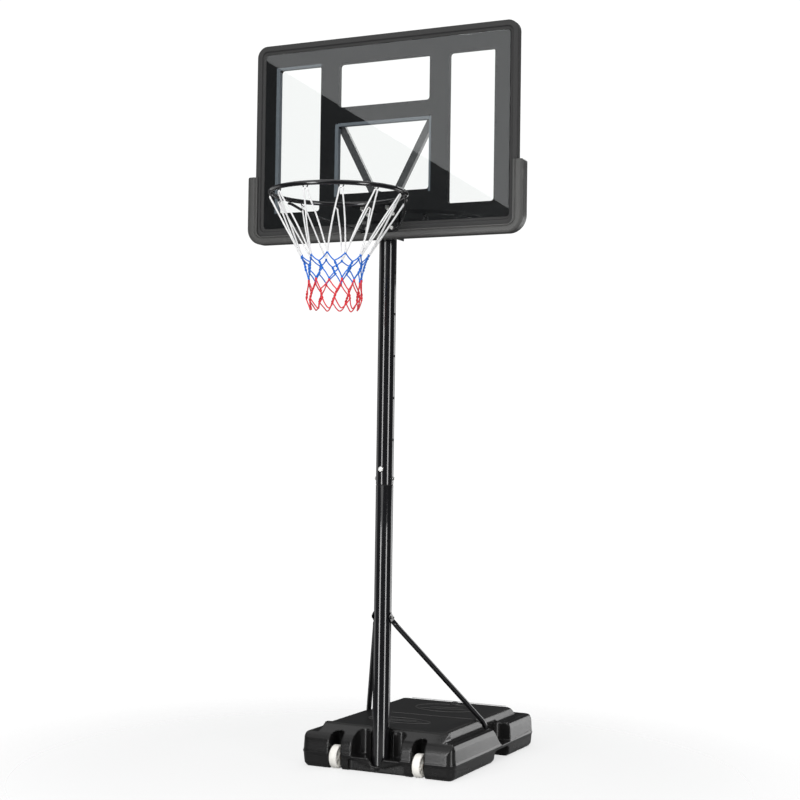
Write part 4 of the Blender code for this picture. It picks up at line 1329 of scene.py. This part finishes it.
@dataclass
class Rim:
    """The ring with its net hooks, its braces, tongue, angle bracket and bolts."""

    y: float = -0.392
    z: float = 2.040
    radius: float = 0.2330
    tube: float = 0.0080
    hooks: int = 12
    brace: float = 0.0048

    def build(self) -> None:
        """Turn the ring, bend its hooks and braces and dress the rest."""
        angles = [math.tau * step / 24 for step in range(24)]
        bm = revolve([(self.radius + self.tube * math.cos(a), self.tube * math.sin(a)) for a in angles], 192)
        for number in range(self.hooks):
            angle = math.tau * number / self.hooks
            out = outward(angle)
            along = Vector((-math.sin(angle), math.cos(angle), 0.0))
            bend = [(-0.009, -0.005), (-0.0082, -0.0105), (-0.0045, -0.0150), (0.0, -0.0165)]
            bend += [(-reach, drop) for reach, drop in reversed(bend[:3])]
            points = [out * self.radius + along * reach + Vector((0.0, 0.0, drop)) for reach, drop in bend]
            bar(bm, smooth_route(points, 4), 0.0021, 12, out)
        bmesh.ops.translate(bm, vec=(0.0, self.y, self.z), verts=bm.verts)
        piece(mesh_object("ring_and_hooks", bm), RIM_PAINT, Body.CARRIAGE, ["rim_ring"], 45.0)
        for side in Side:
            way = side.value
            stations = [
                (way * 0.2255, -0.3390, self.z - 0.0136),
                (way * 0.2200, -0.3200, self.z - 0.0160),
                (way * 0.1900, -0.2620, self.z - 0.0400),
                (way * 0.1500, -0.1900, self.z - 0.0590),
                (way * 0.1100, -0.1300, self.z - 0.0730),
                (way * 0.0820, -0.0930, self.z - 0.0810),
                (way * 0.0660, -0.0780, self.z - 0.0840),
            ]
            bm = bmesh.new()
            bar(bm, smooth_route(stations, 6), self.brace, 18)
            obj = mesh_object(f"brace_rod_{side.word}", bm)
            piece(obj, RIM_PAINT, Body.CARRIAGE, [f"rim_brace_{side.word}"], 50.0)
            for level in ("low", "high"):
                dress(f"rim_bolt_{level}_{side.word}", ZINC, 0.0005)
                dress(f"rim_nut_{level}_{side.word}", ZINC, 0.0004)
            dress(f"tongue_bolt_{side.word}", ZINC, 0.0005)
            dress(f"tongue_nut_{side.word}", ZINC, 0.0004)
        dress("rim_tongue", RIM_PAINT, 0.0006)
        dress("rim_bracket", RIM_PAINT, 0.0006)


@dataclass
class KnottedNet:
    """The net: looped white cords down to blue knots, then blue and red diamonds that end in loops."""

    rim: Rim
    cord: float = 0.0023
    seed: int = 11
    sway: float = -0.009
    hook_drop: float = 0.0185
    peak: Flat = (0.1175, 1.823)
    blue_knot: tuple[float, float, float] = (0.1040, 1.799, 1.772)
    change: Flat = (0.0915, 1.742)
    red_knot: tuple[float, float, float] = (0.0930, 1.702, 1.674)
    loop_low: Flat = (0.0840, 1.637)

    def __post_init__(self) -> None:
        """Start the repeatable unevenness."""
        self.dice = random.Random(self.seed)
        self.meshes = {name: bmesh.new() for name in ("white", "blue", "red")}

    def at(self, turn: float, radius: float, height: float, loose: float = 1.0) -> Vector:
        """A point of the net.

        Args:
            turn: Where it is round the ring, in hooks.
            radius: Its distance from the net's axis.
            height: Its height.
            loose: How unevenly it hangs.

        Returns:
            The point.
        """
        angle = math.tau * (turn + self.dice.uniform(-0.07, 0.07) * loose) / self.rim.hooks
        reach = radius + self.dice.uniform(-0.003, 0.002) * loose
        drop = self.dice.uniform(-0.004, 0.004) * loose
        share = min(1.0, max(0.0, (self.rim.z - height) / 0.2))
        return Vector(
            (reach * math.cos(angle) + self.sway * share, self.rim.y + reach * math.sin(angle), height + drop)
        )

    def thread(
        self, colour: str, points: Sequence[Vector], steps: int = 5, radius: float | None = None
    ) -> None:
        """Run a cord of one colour through points."""
        route = smooth_route(points, steps)
        bar(self.meshes[colour], route, radius or self.cord, 8, Vector((0.31, 0.22, 0.93)))

    def knot(self, colour: str, middle: Vector, size: float = 1.0) -> None:
        """A small overhand lump of cord."""
        turns = []
        for step in range(15):
            angle = math.tau * 2 * step / 14
            reach = 0.0019 * size
            climb = (step / 14 - 0.5) * 0.0060 * size
            turns.append(middle + Vector((reach * math.cos(angle), reach * math.sin(angle), climb)))
        self.thread(colour, turns, 2, self.cord * 0.95)

    def twist(self, colour: str, top: Vector, low: Vector) -> None:
        """Two cords that wind round each other between two points."""
        along = (low - top).normalized()
        side = along.cross(Vector((0.0, 0.0, 1.0)) + Vector((0.2, 0.1, 0.0))).normalized()
        other = along.cross(side)
        for start in (0.0, math.pi):
            turns = []
            for step in range(13):
                share = step / 12
                angle = start + math.tau * 1.25 * share
                swell = self.cord * 0.95
                aside = (side * math.cos(angle) + other * math.sin(angle)) * swell
                turns.append(top.lerp(low, share) + aside)
            self.thread(colour, turns, 2)

    def build(self) -> None:
        """Hang every cord and knot."""
        count = self.rim.hooks
        middle = Vector((0.0, self.rim.y, 0.0))
        peaks = [self.at(n + 0.5, *self.peak) for n in range(count)]
        changes = [self.at(n + 0.5, *self.change, 0.8) for n in range(count)]
        blue = []
        red = []
        for number in range(count):
            lean = self.dice.choice((-0.11, 0.11))
            radius, top, low = self.blue_knot
            upper = self.at(number + lean, radius, top, 0.6)
            blue.append((upper, self.at(number - lean, radius - 0.006, low, 0.6)))
            lean = self.dice.choice((-0.09, 0.09))
            radius, top, low = self.red_knot
            upper = self.at(number + lean, radius, top, 0.6)
            red.append((upper, self.at(number - lean, radius + 0.002, low, 0.6)))
        for number in range(count):
            angle = math.tau * number / count
            out = outward(angle)
            along = Vector((-math.sin(angle), math.cos(angle), 0.0))
            crest = middle + out * self.rim.radius + Vector((0.0, 0.0, self.rim.z - self.hook_drop + 0.0040))
            before, after = peaks[number - 1], peaks[number]
            legs = []
            for leg, end in ((-1, before), (1, after)):
                shoulder = crest + along * (0.0058 * leg) + Vector((0.0, 0.0, -0.0052))
                bulge = shoulder.lerp(end, 0.5) + along * (leg * 0.003)
                bulge += out * self.dice.uniform(-0.003, 0.004)
                legs.append([end, bulge, shoulder.lerp(end, 0.08), shoulder])
            route = [*legs[0], crest, *reversed(legs[1])]
            self.thread("white", route, 7, self.cord * 1.25)
        for number in range(count):
            last = (number - 1) % count
            self.knot("blue", peaks[number], 1.15)
            self.knot("blue", changes[number], 1.0)
            self.knot("red", changes[number] - Vector((0.0, 0.0, 0.0052)), 1.05)
            self.twist("blue", *blue[number])
            self.twist("red", *red[number])
            for start, end in ((peaks[last], blue[number][0]), (peaks[number], blue[number][0])):
                sag = start.lerp(end, 0.5) + Vector((0.0, 0.0, -0.0025))
                self.thread("blue", [start, sag, end])
            for end in (changes[last], changes[number]):
                start = blue[number][1]
                self.thread("blue", [start, start.lerp(end, 0.5) + Vector((0.0, 0.0, 0.002)), end])
            for begin in (changes[last], changes[number]):
                end = red[number][0]
                start = begin - Vector((0.0, 0.0, 0.0052))
                self.thread("red", [start, start.lerp(end, 0.5) + Vector((0.0, 0.0, -0.002)), end])
            here, there = red[number][1], red[(number + 1) % count][1]
            radius, low = self.loop_low
            bottom = self.at(number + 0.5, radius, low + 0.004, 0.9)
            left = self.at(number + 0.24, radius + 0.004, low + 0.016, 0.5)
            right = self.at(number + 0.76, radius + 0.004, low + 0.016, 0.5)
            self.thread("red", [here, left, bottom, right, there], 7)
        finishes = {"white": WHITE_CORD, "blue": BLUE_CORD, "red": RED_CORD}
        for colour, bm in self.meshes.items():
            piece(mesh_object(f"net_{colour}", bm), finishes[colour], Body.CARRIAGE, ["net"], 60.0)


# ---------------------------------------------------------------------------------------------- studio


@dataclass(frozen=True)
class Softbox:
    """One rectangular studio light; mirrored says whether glossy surfaces show it."""

    name: str
    place: Solid
    aim: Solid
    width: float
    height: float
    glow: float
    mirrored: bool = True

    def hang(self, turn: Matrix) -> None:
        """Hang the light, turned by a matrix; glow is its brightness as a surface."""
        lamp = bpy.data.lights.new(self.name, "AREA")
        lamp.shape = "RECTANGLE"
        lamp.size = self.width
        lamp.size_y = self.height
        lamp.energy = self.glow * math.pi * self.width * self.height
        obj = bpy.data.objects.new(self.name, lamp)
        bpy.context.scene.collection.objects.link(obj)
        obj.matrix_world = Matrix.Translation(self.place) @ turn
        obj.visible_camera = False
        obj.visible_glossy = self.mirrored

    def build(self) -> None:
        """Hang the light and turn it to its aim."""
        way = Vector(self.aim) - Vector(self.place)
        self.hang(way.to_track_quat("-Z", "Y").to_matrix().to_4x4())


@dataclass
class Studio:
    """Pale floor, white surroundings, soft lights and the camera."""

    camera_at: Solid = (2.494, -5.077, 1.176)
    heading: float = 25.64
    pitch: float = 1.72
    roll: float = 0.83
    lens: float = 69.93

    def camera(self) -> None:
        """Set up the camera."""
        heading, pitch, roll = (math.radians(angle) for angle in (self.heading, self.pitch, self.roll))
        level = math.cos(pitch)
        ahead = Vector((-math.sin(heading) * level, math.cos(heading) * level, math.sin(pitch)))
        level = Vector((math.cos(heading), math.sin(heading), 0.0))
        above = level.cross(ahead)
        right = level * math.cos(roll) + above * math.sin(roll)
        up = above * math.cos(roll) - level * math.sin(roll)
        data = bpy.data.cameras.new("studio_camera")
        data.lens = self.lens
        data.sensor_width = 36.0
        data.clip_start = 0.05
        data.clip_end = 200.0
        obj = bpy.data.objects.new("studio_camera", data)
        bpy.context.scene.collection.objects.link(obj)
        turn = Matrix((right, up, -ahead)).transposed().to_4x4()
        obj.matrix_world = Matrix.Translation(self.camera_at) @ turn
        bpy.context.scene.camera = obj

    def surroundings(self) -> None:
        """White where the camera looks past the hoop, and a dim even glow for the light."""
        world = bpy.data.worlds.new("studio_world")
        bpy.context.scene.world = world
        world.use_nodes = True
        graph = Graph(world.node_tree)
        seen = graph.wire("ShaderNodeLightPath", out="Is Camera Ray")
        glow = graph.add("ShaderNodeBackground", sockets={"Color": (0.95, 0.97, 1.0), "Strength": 0.07})
        white = graph.add("ShaderNodeBackground", sockets={"Color": (1.0, 1.0, 1.0), "Strength": 1.05})
        mixed = graph.add("ShaderNodeMixShader", sockets={0: seen, 1: glow, 2: white})
        graph.add("ShaderNodeOutputWorld", sockets={"Surface": mixed})
        bpy.context.scene.view_settings.view_transform = "Standard"

    def floor(self) -> None:
        """A wide round floor."""
        bm = bmesh.new()
        bmesh.ops.create_circle(bm, cap_ends=True, segments=96, radius=30.0)
        obj = mesh_object("studio_floor", bm)
        obj.data.materials.append(FLOOR.material())
        obj.location.z = -0.0005

    def lights(self) -> list[Softbox]:
        """The lights: an overhead bank, a key that nothing mirrors, two strips and three washes."""
        return [
            Softbox("overhead_bank", (0.0, 0.2, 6.0), (0.0, 0.0, 0.0), 9.0, 9.0, 0.75),
            Softbox("key", (1.6, -4.8, 3.4), (0.0, 0.0, 1.2), 3.0, 3.0, 5.0, False),
            Softbox("strip_front_left", (-0.968, -3.88, 0.85), (0.0, 0.0, 0.85), 0.9, 3.3, 8.0),
            Softbox("strip_right", (3.58, -1.785, 0.85), (0.0, 0.0, 0.85), 0.9, 3.3, 7.0),
            Softbox("wash_left", (-4.6, 0.4, 1.6), (0.0, 0.0, 1.2), 3.2, 3.2, 0.6),
            Softbox("wash_rear_right", (2.6, 4.6, 0.7), (0.0, 0.3, 0.3), 3.0, 3.2, 2.4),
            Softbox("rear_top", (0.4, 4.0, 4.2), (0.0, 0.0, 2.2), 2.2, 1.2, 3.2),
        ]

    def sheet_card(self) -> None:
        """A bright card, square to the board, whose lower edge leans across the sheet's reflection."""
        edge = Vector((0.8503, 0.0, -0.5263))
        inward = Vector((0.5263, 0.0, 0.8503))
        width, height = 4.4, 2.2
        middle = Vector((-1.96, -4.0, 3.2134)) + inward * (height / 2)
        turn = Matrix((edge, inward, Vector((0.0, -1.0, 0.0)))).transposed().to_4x4()
        Softbox("sheet_card", tuple(middle), (0.0, 0.0, 0.0), width, height, 1.25).hang(turn)

    def build(self) -> None:
        """Set the whole stage."""
        self.camera()
        self.surroundings()
        self.floor()
        for light in self.lights():
            light.build()
        self.sheet_card()


def main() -> None:
    """Build the hoop's looks, piece by piece, and the stage round it."""
    logging.basicConfig(level=logging.INFO, format="%(name)s: %(message)s")
    rim = Rim()
    assemblies = [BallastTank(), FillerCap(), Wheel(Side.LEFT), Wheel(Side.RIGHT), Pole(), Struts()]
    assemblies += [Backboard(), Carriage(), rim, KnottedNet(rim), Studio()]
    for assembly in assemblies:
        assembly.build()
        LOG.info("%s done", type(assembly).__name__)


if __name__ == "__main__":
    main()
